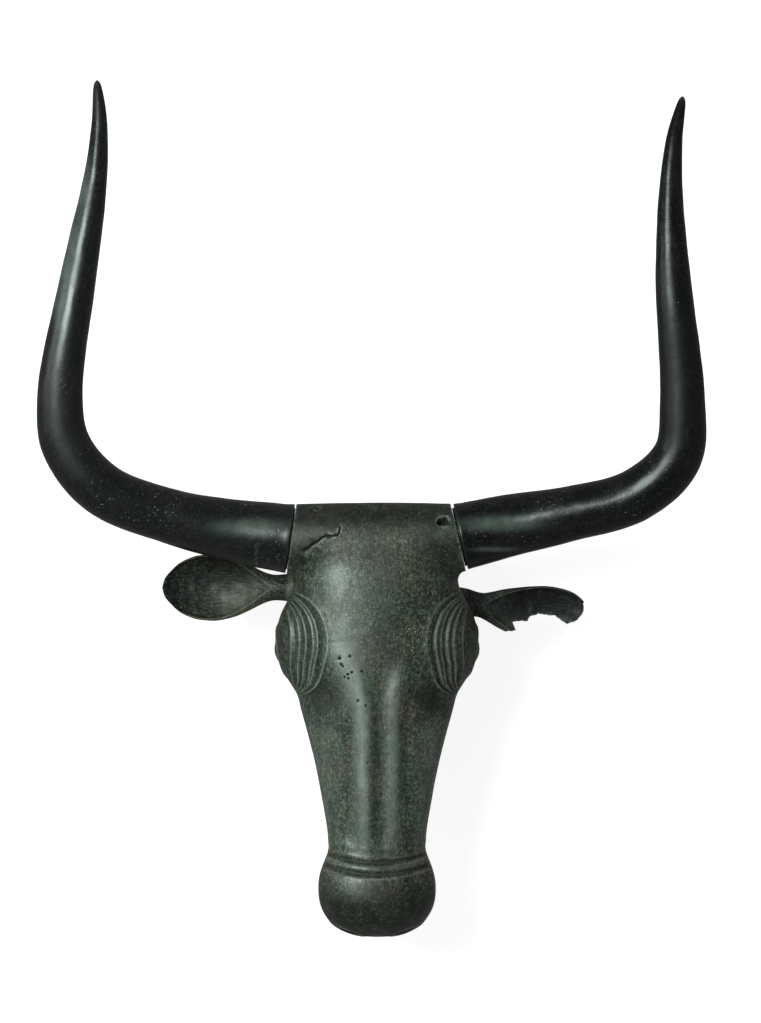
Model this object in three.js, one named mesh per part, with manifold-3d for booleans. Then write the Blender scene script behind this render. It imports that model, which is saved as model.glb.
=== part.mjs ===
// A life-size bull's head in cast bronze, with two horns and two ears fitted to it.
// It lies on its flat neck cut with the face up.
// Millimetres: +Z out of the face, +Y from the muzzle to the poll, +X to the viewer's right.
// The origin is the middle of the neck cut, on the midline of the head.

import * as THREE from 'three';
import { mergeVertices } from 'three/addons/utils/BufferGeometryUtils.js';
import Module from 'manifold-3d';

const wasm = await Module();
wasm.setup();

// Skull: [y, size] stations from the muzzle back to the poll
const HALF_WIDTH = [
  [-300, 49], [-234, 51.4], [-205, 55.3], [-155, 64.6], [-118, 73.8],
  [-86, 82.6], [-55, 87], [40, 85.5], [110, 82],
];
const FACE_HEIGHT = [[-300, 164], [-234, 167], [-150, 178], [-60, 190], [0, 193], [60, 188], [110, 174]];
const WIDEST_HEIGHT = [[-300, 126], [-150, 128], [-60, 134], [40, 126], [110, 120]];
const JAW_HEIGHT = [[-300, 74], [-250, 69], [-200, 54], [-150, 30], [-105, 0], [-60, -40], [0, -60]];
const FACE_SQUARENESS = [[-300, 2.5], [-150, 2.5], [-40, 2.4], [20, 2.5], [70, 3]];
const JAW_SQUARENESS = 2.6;
const NAPE_LINE = [[0, 113], [60, 106], [120, 98]];
const NAPE_ROUNDING = 34;
const NOSE_END_Y = -292;

// Muzzle: a swollen rounded block at the end of the nose
const MUZZLE = {
  y: -286, z: 121, halfWidth: 62, halfLength: 50.5, halfHeight: 53, squareness: 2.3, slant: 0.24, blend: 12,
};

// Horn seat: a cross bar of the poll, cut off square to each horn
const SEAT = {
  y: 83.9, z: 148, slope: 0.01, radius: 37.3, taper: 0.008, waist: 1.5, halfWidth: 88, blend: 14, spare: 12,
};
const LEFT_SEAM = { x: -89.8, y: 83, tilt: 8, groove: 1.3, thickness: 73.2 };
const RIGHT_SEAM = { x: 85.3, y: 84.8, tilt: 12.8, groove: 2.6, thickness: 70.8 };
const SEAM_CUT = { reach: 60, height: 120, depth: 120, below: 64 };
const CLEARANCE = 0.4;
const GROUND_CUT = { width: 400, length: 800, depth: 200 };

// Eyes: a long swelling on each side, with the eyeball low on it
const EYE_SWELLING = { x: 75, y: -23, z: 138, halfWidth: 31, halfLength: 50, halfHeight: 33, blend: 16 };
const EYEBALL = { x: 88, y: -33, z: 138, radius: 20, flatness: 0.65, blend: 3 };

// Brow folds: bowed ridges nested round the eye, from the lid to the forehead
const BROW = { x: 98.5, y: -26, shortest: 35.5, growth: 0.42, fade: 12, lowest: 120, widestBow: 200 };
const BROW_FOLDS = [
  { bow: 8.4, width: 2.6, height: 1.8 },
  { bow: 17, width: 3.1, height: 2.2 },
  { bow: 24.6, width: 2.9, height: 2.4 },
  { bow: 34, width: 4.1, height: 2.6 },
  { bow: 46, width: 5.2, height: 2.2 },
];

// Bridge of the nose: two rounded ridges that part towards the brows
const BRIDGE_X = 2.4;
const BRIDGE_SPREAD = [[-258, 14], [-150, 14.5], [-90, 17], [-60, 29], [-30, 44]];
const BRIDGE_HEIGHT = [[-264, 0], [-246, 2.8], [-150, 3.8], [-90, 3.2], [-60, 2], [-25, 0]];
const BRIDGE_WIDTH = [[-258, 7], [-150, 8.2], [-90, 10], [-50, 15]];
const BRIDGE_FADE = [120, 150];
const FURROW = { gap: 15, width: 6, depth: 1.6, front: [-250, -220], back: [-125, -95] };
const TEAR_HOLLOW = { x: 57, y: -80, width: 15, length: 20, depth: 3.2 };
const CHEEK_CREST = {
  path: [[-215, 50], [-155, 60], [-86, 76]], width: 7, height: 2,
  front: [-225, -180], back: [-110, -80], side: [125, 150],
};

// Muzzle folds, nostrils and mouth
const MUZZLE_FOLDS = [
  { y: -244, width: 2, depth: 0.6 },
  { y: -257, width: 2.8, depth: 2.2 },
  { y: -269.5, width: 3, depth: 2.4 },
];
const FOLD_RISE = 7.6;
const FOLD_HALF_SPAN = 48;
const FOLD_FADE = 20;
const NOSTRIL = { x: 30, z: 133, width: 12, height: 8, depth: 6, droop: 0.35, back: [-317, -303] };
const MOUTH = { z: 96, width: 5, depth: 2.6, back: [-290, -240] };

// Skin: where the rays start from, and the ring and column spacing
const CORE = { backY: 40, frontY: -285, backZ: 112, frontZ: 121 };
const RING_STEPS = [
  [40, 20, 10], [20, -82, 6.4], [-82, -238, 13], [-238, -246, 8], [-246, -276, 3.4], [-276, -285, 4.5],
];
const EYE_ZONE = [20, -82];
const MUZZLE_ZONE = -277;
const POLL_FAN = 10;
const MUZZLE_FAN = 8;
const COLUMN_STEPS = [[0, 30, 5], [30, 65, 7], [65, 113, 8], [113, 180, 13.4]];
const EYE_COLUMN_STEPS = [[0, 30, 6], [30, 66, 1.6], [66, 114, 8], [114, 180, 13.2]];
const MUZZLE_COLUMN_STEPS = [[0, 30, 10], [30, 66, 9], [66, 104, 9.5], [104, 124, 5], [124, 180, 14]];
const REACH = 230;
const STRIDE = 5;
const HALVINGS = 22;
const WELD = 1e-4;

// Horns: centreline from the seam to the tip, [x, y, z], and thickness by share of the length
const LEFT_HORN_PATH = [
  [-216, 106.5, 158], [-288, 134.7, 170], [-326.5, 183, 182], [-332, 238, 190],
  [-315, 344, 196], [-294.6, 465, 190], [-291, 520, 184], [-293.7, 564.5, 176],
];
const RIGHT_HORN_PATH = [
  [195, 108, 158], [271.5, 129, 170], [315, 169.5, 182], [320.2, 230, 190],
  [311, 344, 196], [307.9, 435, 190], [311.6, 500, 184], [320.9, 547.5, 176],
];
const HORN_THICKNESS = [
  [0, 71], [0.05, 69], [0.12, 64.2], [0.2, 58.4], [0.34, 56.2], [0.47, 49.6],
  [0.6, 43.4], [0.73, 35.6], [0.86, 24.4], [0.95, 15.4], [0.976, 11.5], [0.99, 8.3], [1, 4.8],
];
const HORN_ROOT_END = 0.1;
const HORN_LEAD = 58;
const HORN_FIRST_SHARE = 0.03;
const HORN_RINGS = 22;
const HORN_TIP_CROWDING = 1.2;
const HORN_SIDES = 20;
const SPIGOT_INSET = 4;
const COLLAR = { lip: 0.1, chamfer: 0.8 };

// Ears: a dished leaf on a short stalk, [share of the length, size]
const EAR_FRONT = [[0, 12], [0.12, 9], [0.24, 0], [0.55, -13], [0.85, -9], [1, 0]];
const EAR_BACK = [[0, -12], [0.12, -9], [0.24, -7], [0.55, -16], [0.85, -11.5], [1, 0]];
const EAR_RIM = 2.3;
const EAR_RINGS = 15;
const EAR_TIP_CROWDING = 0.8;
const EAR_SIDES = 22;
const EAR_DEPTH_IN_HEAD = 22;
const EAR_CUT_DEPTH = 120;
const LEFT_EAR = {
  side: -1, x: -90, y: 31.6, z: 108, tilt: 0, length: 136.5,
  halfWidth: [
    [0, 15], [0.13, 13.6], [0.21, 16.4], [0.32, 23.8], [0.43, 30.4],
    [0.57, 34.9], [0.68, 34.6], [0.76, 32.6], [0.87, 25.6], [0.955, 14], [1, 4.5],
  ],
};
const RIGHT_EAR = {
  side: 1, x: 92, y: 16, z: 108, tilt: -9.5, length: 130,
  halfWidth: [
    [0, 15], [0.13, 13], [0.21, 16], [0.3, 20.6], [0.42, 25.2],
    [0.54, 29], [0.65, 31.4], [0.78, 31], [0.88, 26.6], [0.96, 17], [1, 6],
  ],
};
// Lost lower part of the right ear: its torn edge, [x, y], from the stalk to the tip
const TORN_EDGE = [
  [126, -60], [128, -20], [137, -14.5], [146.5, -13.5], [143, -5], [152.5, -3.5], [159, -4], [161, 0.5],
  [170, 4], [181, 2], [188, 2.2], [194.5, -3.5], [200.6, -7.2], [206.5, -5], [212.5, -1.4], [217, 4],
  [240, 12], [240, -60],
];

/** Smooth curve through [place, value] stations, level beyond both ends. */
function along(stations, place) {
  const last = stations.length - 1;
  if (place <= stations[0][0]) return stations[0][1];
  if (place >= stations[last][0]) return stations[last][1];
  let i = 0;
  while (place > stations[i + 1][0]) i += 1;
  const slope = (k) => {
    const before = stations[Math.max(k - 1, 0)];
    const after = stations[Math.min(k + 1, last)];
    return (after[1] - before[1]) / (after[0] - before[0]);
  };
  const [start, from] = stations[i];
  const [end, to] = stations[i + 1];
  const span = end - start;
  const t = (place - start) / span;
  const s = t * t * (3 - 2 * t);
  const lean = slope(i) * t * (1 - t) ** 2 - slope(i + 1) * t * t * (1 - t);
  return from + (to - from) * s + span * lean;
}

/** Smooth union of two distances over a blend of the given size. */
function join(a, b, blend) {
  const h = Math.max(blend - Math.abs(a - b), 0) / blend;
  return Math.min(a, b) - (h * h * blend) / 4;
}

/** A rounded bump: 1 at the middle, falling off past the given width. */
function bump(distance, width, power = 2) {
  return Math.exp(-(Math.abs(distance / width) ** power));
}

/** 0 below the first limit, 1 above the second, smooth between. */
function rise(value, low, high) {
  return THREE.MathUtils.smoothstep(value, low, high);
}

/** Distance along a ray from the middle to a rounded block with the given half sizes. */
function block(offsets, halfSizes, power) {
  const size = offsets.reduce((sum, d, i) => sum + Math.abs(d / halfSizes[i]) ** power, 0) ** (1 / power);
  return Math.hypot(...offsets) * (1 - 1 / Math.max(size, 1e-6));
}

/** Skull and neck as one run of cross-sections. */
function skull(x, y, z) {
  const middle = along(WIDEST_HEIGHT, y);
  const lift = z - middle;
  const above = lift > 0;
  const depth = above ? along(FACE_HEIGHT, y) - middle : middle - along(JAW_HEIGHT, y);
  const power = above ? along(FACE_SQUARENESS, y) : JAW_SQUARENESS;
  const section = block([x, lift], [along(HALF_WIDTH, y), depth], power);
  const closedNape = -join(-section, along(NAPE_LINE, z) - y, NAPE_ROUNDING);
  return Math.max(closedNape, NOSE_END_Y - y);
}

/** Bow of the fold that passes through a point beside the eye, 0 on the lid side. */
function browBow(inward, upDown) {
  if (inward <= 0) return 0;
  let low = 0;
  let high = BROW.widestBow;
  for (let i = 0; i < HALVINGS; i += 1) {
    const bow = (low + high) / 2;
    const outside = (inward / bow) ** 2 + (upDown / (BROW.shortest + BROW.growth * bow)) ** 2 > 1;
    if (outside) low = bow;
    else high = bow;
  }
  return high;
}

function browFolds(x, y, z) {
  const upDown = y - BROW.y;
  const bow = browBow(BROW.x - Math.abs(x), upDown);
  if (bow === 0 || z < BROW.lowest) return 0;
  const length = BROW.shortest + BROW.growth * bow;
  const ends = 1 - rise(Math.abs(upDown), length - BROW.fade, length);
  const folds = BROW_FOLDS.reduce((sum, fold) => sum + fold.height * bump(bow - fold.bow, fold.width), 0);
  return folds * ends;
}

function bridge(x, y) {
  const aside = Math.abs(x - BRIDGE_X);
  const spread = along(BRIDGE_SPREAD, y);
  const ridge = along(BRIDGE_HEIGHT, y) * bump(aside - spread, along(BRIDGE_WIDTH, y), 3);
  const run = rise(y, ...FURROW.front) * (1 - rise(y, ...FURROW.back));
  return ridge - FURROW.depth * run * bump(aside - spread - FURROW.gap, FURROW.width);
}

function cheeks(x, y, z) {
  const hollow = bump((Math.abs(x) - TEAR_HOLLOW.x) / TEAR_HOLLOW.width, 1)
    * bump((y - TEAR_HOLLOW.y) / TEAR_HOLLOW.length, 1);
  const run = rise(y, ...CHEEK_CREST.front) * (1 - rise(y, ...CHEEK_CREST.back));
  const crest = run * bump(Math.abs(x) - along(CHEEK_CREST.path, y), CHEEK_CREST.width)
    * rise(z, ...CHEEK_CREST.side);
  return CHEEK_CREST.height * crest - (z > CORE.backZ ? TEAR_HOLLOW.depth * hollow : 0);
}

function muzzleDetail(x, y, z) {
  const fold = MUZZLE_FOLDS.reduce((sum, { y: foldY, width, depth }) => {
    const smile = foldY + FOLD_RISE * (x / FOLD_HALF_SPAN) ** 2;
    return sum + depth * bump(y - smile, width);
  }, 0) * rise(z, MUZZLE.z, MUZZLE.z + FOLD_FADE);
  const aside = Math.abs(x) - NOSTRIL.x;
  const nostril = bump(Math.hypot(
    aside / NOSTRIL.width,
    (z - NOSTRIL.z + NOSTRIL.droop * aside) / NOSTRIL.height,
  ), 1) * (1 - rise(y, ...NOSTRIL.back));
  const mouth = bump(z - MOUTH.z, MOUTH.width) * (1 - rise(y, ...MOUTH.back));
  return -fold - NOSTRIL.depth * nostril - MOUTH.depth * mouth;
}

/** Outward direction of a horn seam. */
function seamNormal(seam) {
  const tilt = THREE.MathUtils.degToRad(seam.tilt);
  return new THREE.Vector3(Math.sign(seam.x) * Math.cos(tilt), Math.sin(tilt), 0);
}

/** How far a point lies beyond a horn seam. */
function beyondSeam(seam, x, y) {
  const normal = seamNormal(seam);
  return (x - seam.x) * normal.x + (y - seam.y) * normal.y;
}

/** Below zero inside the head. */
function head(x, y, z) {
  const seatRadius = SEAT.radius - SEAT.taper * x - SEAT.waist * (x / SEAT.halfWidth) ** 2;
  const seat = Math.max(
    Math.hypot(y - SEAT.y - SEAT.slope * x, z - SEAT.z) - seatRadius,
    beyondSeam(LEFT_SEAM, x, y) - SEAT.spare,
    beyondSeam(RIGHT_SEAM, x, y) - SEAT.spare,
  );
  const chinSetBack = MUZZLE.slant * Math.max(MUZZLE.z - z, 0);
  const muzzle = block(
    [x, y - MUZZLE.y - chinSetBack, z - MUZZLE.z],
    [MUZZLE.halfWidth, MUZZLE.halfLength, MUZZLE.halfHeight],
    MUZZLE.squareness,
  );
  const swelling = block(
    [Math.abs(x) - EYE_SWELLING.x, y - EYE_SWELLING.y, z - EYE_SWELLING.z],
    [EYE_SWELLING.halfWidth, EYE_SWELLING.halfLength, EYE_SWELLING.halfHeight],
    2,
  );
  const ball = Math.hypot(
    Math.abs(x) - EYEBALL.x,
    y - EYEBALL.y,
    (z - EYEBALL.z) / EYEBALL.flatness,
  ) - EYEBALL.radius;
  let body = join(skull(x, y, z), seat, SEAT.blend);
  body = join(body, muzzle, MUZZLE.blend);
  body = join(body, swelling, EYE_SWELLING.blend);
  body = join(body, ball, EYEBALL.blend);
  const carving = browFolds(x, y, z) + bridge(x, y) * rise(z, ...BRIDGE_FADE);
  return body - carving - cheeks(x, y, z) - muzzleDetail(x, y, z);
}

/** The outermost point of the head along a ray. */
function hitSkin(origin, direction, offset) {
  const at = (t) => origin.clone().addScaledVector(direction, t);
  const depth = (t) => {
    const p = at(t);
    return head(p.x, p.y, p.z) - offset;
  };
  let outside = REACH;
  while (outside > STRIDE && depth(outside - STRIDE) > 0) outside -= STRIDE;
  let inside = outside - STRIDE;
  for (let i = 0; i < HALVINGS; i += 1) {
    const t = (inside + outside) / 2;
    if (depth(t) > 0) outside = t;
    else inside = t;
  }
  return at(outside);
}

/** Values from one limit to the other in near-even steps, both ends kept. */
function steps([from, to, step]) {
  const count = Math.round(Math.abs(to - from) / step);
  return Array.from({ length: count + 1 }, (_, i) => from + ((to - from) * i) / count);
}

function columnAngles(zones) {
  const half = [...new Set(zones.flatMap(steps))];
  const back = half.slice(1, -1).map((angle) => 360 - angle).reverse();
  return [...half, ...back].map(THREE.MathUtils.degToRad);
}

function ringPoints(origin, tilt, angles, offset) {
  const level = Math.cos(tilt);
  return angles.map((angle) => {
    const direction = new THREE.Vector3(Math.sin(angle) * level, Math.sin(tilt), Math.cos(angle) * level);
    return { angle, point: hitSkin(origin, direction, offset) };
  });
}

/** Rings of the head's skin, from the middle of the nape to the middle of the muzzle. */
function headRings(offset) {
  const plain = columnAngles(COLUMN_STEPS);
  const eyes = columnAngles(EYE_COLUMN_STEPS);
  const lips = columnAngles(MUZZLE_COLUMN_STEPS);
  const columnsAt = (y) => {
    if (y < MUZZLE_ZONE) return lips;
    return y <= EYE_ZONE[0] && y >= EYE_ZONE[1] ? eyes : plain;
  };
  const back = new THREE.Vector3(0, CORE.backY, CORE.backZ);
  const front = new THREE.Vector3(0, CORE.frontY, CORE.frontZ);
  const quarter = Math.PI / 2;
  const rings = [];
  for (let i = 0; i < POLL_FAN; i += 1) {
    rings.push(ringPoints(back, quarter * (1 - i / POLL_FAN), i === 0 ? [0] : plain, offset));
  }
  for (const y of new Set(RING_STEPS.flatMap(steps))) {
    const share = (y - CORE.backY) / (CORE.frontY - CORE.backY);
    const origin = back.clone().lerp(front, share);
    rings.push(ringPoints(origin, 0, columnsAt(y), offset));
  }
  for (let i = 1; i <= MUZZLE_FAN; i += 1) {
    rings.push(ringPoints(front, (-quarter * i) / MUZZLE_FAN, i === MUZZLE_FAN ? [0] : lips, offset));
  }
  return rings;
}

/** Closed skin over rings of points that may differ in number; a ring of one point is a pole. */
function stitch(rings) {
  const positions = [];
  const starts = [];
  for (const ring of rings) {
    starts.push(positions.length / 3);
    for (const { point } of ring) positions.push(point.x, point.y, point.z);
  }
  const index = [];
  for (let k = 0; k + 1 < rings.length; k += 1) {
    const [near, far] = [rings[k], rings[k + 1]];
    const turn = (ring, i) => ring[i % ring.length].angle + (i >= ring.length ? 2 * Math.PI : 0);
    const name = (start, ring, i) => start + (i % ring.length);
    let a = 0;
    let b = 0;
    const lastA = near.length > 1 ? near.length : 0;
    const lastB = far.length > 1 ? far.length : 0;
    while (a < lastA || b < lastB) {
      const here = [name(starts[k], near, a), name(starts[k + 1], far, b)];
      const moveNear = b >= lastB || (a < lastA && turn(near, a + 1) <= turn(far, b + 1));
      if (moveNear) {
        a += 1;
        index.push(here[0], here[1], name(starts[k], near, a));
      } else {
        b += 1;
        index.push(here[0], here[1], name(starts[k + 1], far, b));
      }
    }
  }
  const geometry = new THREE.BufferGeometry();
  geometry.setAttribute('position', new THREE.Float32BufferAttribute(positions, 3));
  geometry.setIndex(index);
  return geometry;
}

/** Closed skin over equal rings, with a middle point closing each end. */
function loft(rings) {
  const sum = (ring) => ring.reduce((total, p) => total.add(p), new THREE.Vector3());
  const middle = (ring) => sum(ring).divideScalar(ring.length);
  const named = (ring) => ring.map((point, i) => ({ point, angle: (2 * Math.PI * i) / ring.length }));
  const cap = (ring) => [{ point: middle(ring), angle: 0 }];
  return stitch([cap(rings[0]), ...rings.map(named), cap(rings[rings.length - 1])]);
}

function toSolid(geometry) {
  const bare = geometry.clone();
  bare.deleteAttribute('normal');
  bare.deleteAttribute('uv');
  const merged = mergeVertices(bare, WELD);
  return new wasm.Manifold(new wasm.Mesh({
    numProp: 3,
    vertProperties: new Float32Array(merged.attributes.position.array),
    triVerts: new Uint32Array(merged.index.array),
  }));
}

function toGeometry(solid) {
  const mesh = solid.getMesh();
  const geometry = new THREE.BufferGeometry();
  geometry.setAttribute('position', new THREE.BufferAttribute(new Float32Array(mesh.vertProperties), 3));
  geometry.setIndex(new THREE.BufferAttribute(new Uint32Array(mesh.triVerts), 1));
  geometry.computeVertexNormals();
  return geometry;
}

/** A box that takes away what lies beyond a horn seam. */
function seamCutter(seam) {
  const cutter = new THREE.BoxGeometry(SEAM_CUT.reach, SEAM_CUT.height, SEAM_CUT.depth);
  const normal = seamNormal(seam);
  const upward = new THREE.Vector3(-normal.y, normal.x, 0).multiplyScalar(Math.sign(seam.x));
  const middle = new THREE.Vector3(seam.x, seam.y, SEAT.z)
    .addScaledVector(normal, SEAM_CUT.reach / 2)
    .addScaledVector(upward, SEAM_CUT.height / 2 - SEAM_CUT.below);
  cutter.rotateZ(Math.atan2(normal.y, normal.x));
  cutter.translate(middle.x, middle.y, middle.z);
  return toSolid(cutter);
}

function buildHead() {
  const below = new THREE.BoxGeometry(GROUND_CUT.width, GROUND_CUT.length, GROUND_CUT.depth);
  below.translate(0, 0, -GROUND_CUT.depth / 2);
  const solid = toSolid(stitch(headRings(0)))
    .subtract(toSolid(below))
    .subtract(seamCutter(LEFT_SEAM))
    .subtract(seamCutter(RIGHT_SEAM));
  return toGeometry(solid);
}

/** A horn: a spigot face at the seam, a shadow groove, then the tapering sweep to the tip. */
function buildHorn(seam, path) {
  const normal = seamNormal(seam);
  const start = new THREE.Vector3(seam.x, seam.y, SEAT.z);
  const lead = start.clone().addScaledVector(normal, HORN_LEAD);
  const curve = new THREE.CatmullRomCurve3(
    [start, lead, ...path.map((p) => new THREE.Vector3(...p))],
    false,
    'centripetal',
  );
  const across = new THREE.Vector3(0, 0, 1);
  const ring = (centre, tangent, radius) => {
    const side = new THREE.Vector3().crossVectors(across, tangent).normalize();
    const front = new THREE.Vector3().crossVectors(side, tangent);
    return Array.from({ length: HORN_SIDES }, (_, i) => {
      const angle = (2 * Math.PI * i) / HORN_SIDES;
      return centre.clone()
        .addScaledVector(side, radius * Math.cos(angle))
        .addScaledVector(front, radius * Math.sin(angle));
    });
  };
  const rootRadius = seam.thickness / 2;
  const radiusAt = (share) => {
    const extra = seam.thickness - HORN_THICKNESS[0][1];
    return (along(HORN_THICKNESS, share) + extra * (1 - rise(share, 0, HORN_ROOT_END))) / 2;
  };
  const collar = (distance, radius) => ring(start.clone().addScaledVector(normal, distance), normal, radius);
  const rings = [
    collar(CLEARANCE, rootRadius - SPIGOT_INSET),
    collar(seam.groove, rootRadius - SPIGOT_INSET),
    collar(seam.groove + COLLAR.lip, rootRadius - COLLAR.chamfer),
    collar(seam.groove + COLLAR.lip + COLLAR.chamfer, rootRadius),
  ];
  for (let i = 0; i <= HORN_RINGS; i += 1) {
    const crowded = 1 - (1 - i / HORN_RINGS) ** HORN_TIP_CROWDING;
    const share = HORN_FIRST_SHARE + (1 - HORN_FIRST_SHARE) * crowded;
    rings.push(ring(curve.getPointAt(share), curve.getTangentAt(share), radiusAt(share)));
  }
  return toGeometry(toSolid(loft(rings)));
}

/** An ear before it is fitted: sections across the leaf from inside the head to the tip. */
function earSkin({ side, x, y, z, tilt, length, halfWidth }) {
  const turn = THREE.MathUtils.degToRad(tilt);
  const outward = new THREE.Vector3(side * Math.cos(turn), Math.sin(turn), 0);
  const upward = new THREE.Vector3(-side * Math.sin(turn), Math.cos(turn), 0);
  const section = (distance, share) => {
    const reach = along(halfWidth, share);
    return Array.from({ length: EAR_SIDES }, (_, i) => {
      const angle = (2 * Math.PI * i) / EAR_SIDES;
      const bulge = along(Math.sin(angle) > 0 ? EAR_FRONT : EAR_BACK, share);
      const depth = bulge * Math.sin(angle) ** 2 + EAR_RIM * Math.sin(angle);
      return new THREE.Vector3(x, y, z + depth)
        .addScaledVector(outward, distance)
        .addScaledVector(upward, -side * reach * Math.cos(angle));
    });
  };
  const rings = [section(-EAR_DEPTH_IN_HEAD, 0)];
  for (let i = 0; i <= EAR_RINGS; i += 1) {
    const share = Math.sin((Math.PI / 2) * (i / EAR_RINGS)) ** EAR_TIP_CROWDING;
    rings.push(section(share * length, share));
  }
  return loft(rings);
}

/** The ear's solid, trimmed to the side of the head and, where torn, along its lost edge. */
function buildEar(ear, headWithClearance, tornEdge) {
  let solid = toSolid(earSkin(ear)).subtract(headWithClearance);
  if (tornEdge) {
    const outline = new THREE.Shape(tornEdge.map(([x, y]) => new THREE.Vector2(x, y)));
    const lost = new THREE.ExtrudeGeometry(outline, { depth: EAR_CUT_DEPTH, bevelEnabled: false });
    lost.translate(0, 0, ear.z - EAR_CUT_DEPTH / 2);
    solid = solid.subtract(toSolid(lost));
  }
  return toGeometry(solid);
}

const BRONZE = {
  head: { color: 0x4b534a, roughness: 0.5, metalness: 0.75 },
  horn: { color: 0x23282a, roughness: 0.3, metalness: 0.8 },
  ear: { color: 0x343a34, roughness: 0.5, metalness: 0.75 },
};

function namedMesh(name, geometry, finish) {
  const mesh = new THREE.Mesh(geometry, new THREE.MeshStandardMaterial(finish));
  mesh.name = name;
  return mesh;
}

const headWithClearance = toSolid(stitch(headRings(CLEARANCE)));

const bull = new THREE.Group();
bull.name = 'bull_head_sculpture';
bull.add(
  namedMesh('head', buildHead(), BRONZE.head),
  namedMesh('left_horn', buildHorn(LEFT_SEAM, LEFT_HORN_PATH), BRONZE.horn),
  namedMesh('right_horn', buildHorn(RIGHT_SEAM, RIGHT_HORN_PATH), BRONZE.horn),
  namedMesh('left_ear', buildEar(LEFT_EAR, headWithClearance), BRONZE.ear),
  namedMesh('right_ear', buildEar(RIGHT_EAR, headWithClearance, TORN_EDGE), BRONZE.ear),
);

export default bull;
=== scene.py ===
"""A life-size bull's head in cast bronze, lying face up on a pale studio floor.

Sizes are millimetres in the frame of the CAD model: +Z out of the face, +Y from the muzzle to the
poll and +X to the viewer's right. They become metres when a mesh is made. Points are arrays with one
row for each point, and a distance to a form is below zero inside it.
"""

import logging
import math
from collections.abc import Callable
from dataclasses import dataclass, replace
from enum import Enum

import bmesh
import bpy
import numpy as np
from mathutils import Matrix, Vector


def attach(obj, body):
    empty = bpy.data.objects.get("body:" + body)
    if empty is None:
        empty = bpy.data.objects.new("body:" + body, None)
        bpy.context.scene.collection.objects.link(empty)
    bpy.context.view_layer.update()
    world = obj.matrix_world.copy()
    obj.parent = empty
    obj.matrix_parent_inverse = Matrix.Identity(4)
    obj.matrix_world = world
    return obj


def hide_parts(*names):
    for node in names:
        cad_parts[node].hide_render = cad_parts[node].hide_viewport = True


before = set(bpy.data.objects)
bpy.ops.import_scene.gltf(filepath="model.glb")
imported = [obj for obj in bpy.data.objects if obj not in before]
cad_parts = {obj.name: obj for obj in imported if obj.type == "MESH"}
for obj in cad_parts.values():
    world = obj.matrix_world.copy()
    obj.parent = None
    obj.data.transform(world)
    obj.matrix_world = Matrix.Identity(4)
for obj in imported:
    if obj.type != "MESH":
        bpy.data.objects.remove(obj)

LOG = logging.getLogger("bull_head")
MM = 0.001
IMAGE_HEIGHT = 1023
MM_PER_PIXEL = 1.05
CLEARANCE = 0.4
CUT_PRECISION = 1e-5
TINY = 1e-6

Array = np.ndarray
Pair = tuple[float, float]
Triple = tuple[float, float, float]
Socket = bpy.types.NodeSocket
Tree = bpy.types.NodeTree
BMesh = bmesh.types.BMesh


def rise(value: Array, low: float, high: float) -> Array:
    """Climb smoothly from 0 to 1 between two limits.

    Args:
        value: where to read the climb.
        low: the value at which it starts.
        high: the value at which it ends.

    Returns:
        Numbers from 0 to 1.
    """
    t = np.clip((value - low) / (high - low), 0.0, 1.0)
    return t * t * (3 - 2 * t)


def bump(distance: Array, width: float | Array, power: float = 2) -> Array:
    """Make a rounded bump that is 1 in the middle and falls off past its width.

    Args:
        distance: how far from the middle.
        width: where the bump has fallen to about a third.
        power: 2 for a round bump, more for a flat top.

    Returns:
        Numbers from 0 to 1.
    """
    return np.exp(-np.abs(distance / width) ** power)


def join(a: Array, b: Array, blend: float) -> Array:
    """Unite two forms smoothly.

    Args:
        a: distances to the first form.
        b: distances to the second form.
        blend: the size of the fillet between them.

    Returns:
        Distances to the united form.
    """
    near = np.maximum(blend - np.abs(a - b), 0.0) / blend
    return np.minimum(a, b) - near * near * blend / 4


def block(offsets: tuple, half_sizes: tuple, power: float | Array) -> Array:
    """Measure the distance to a rounded block along the ray from its middle.

    Args:
        offsets: offsets from the middle, one array for each axis.
        half_sizes: half sizes, one for each axis.
        power: 2 for an ellipsoid, more for squarer sides.

    Returns:
        Distances to the block.
    """
    size = sum(np.abs(d / h) ** power for d, h in zip(offsets, half_sizes)) ** (1 / power)
    return np.sqrt(sum(d * d for d in offsets)) * (1 - 1 / np.maximum(size, TINY))


def along(value: Array, start: Pair, end: Pair) -> Array:
    """Return 1 along a stretch, with a climb over its start and a fall over its end."""
    return rise(value, *start) * (1 - rise(value, *end))


def distance_to_line(x: Array, y: Array, line: tuple[Pair, ...]) -> Array:
    """Measure how far points are from a bent line, seen from the front.

    Args:
        x: across the head.
        y: along the head.
        line: the line's corners.

    Returns:
        Distances to the nearest point of the line.
    """
    nearest = np.full(len(x), np.inf)
    for (x0, y0), (x1, y1) in zip(line, line[1:]):
        dx, dy = x1 - x0, y1 - y0
        t = np.clip(((x - x0) * dx + (y - y0) * dy) / (dx * dx + dy * dy), 0.0, 1.0)
        nearest = np.minimum(nearest, np.hypot(x - x0 - t * dx, y - y0 - t * dy))
    return nearest


def close_in(outside: Callable[[Array], Array], low: Array, high: Array, rounds: int) -> Array:
    """Find the edge of a form between inner and outer values, by halving the gap.

    Args:
        outside: tells which values lie outside the form.
        low: values inside it.
        high: values outside it.
        rounds: how often the gap is halved.

    Returns:
        Values just outside the form.
    """
    for _ in range(rounds):
        middle = (low + high) / 2
        beyond = outside(middle)
        high = np.where(beyond, middle, high)
        low = np.where(beyond, low, middle)
    return high


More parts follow.
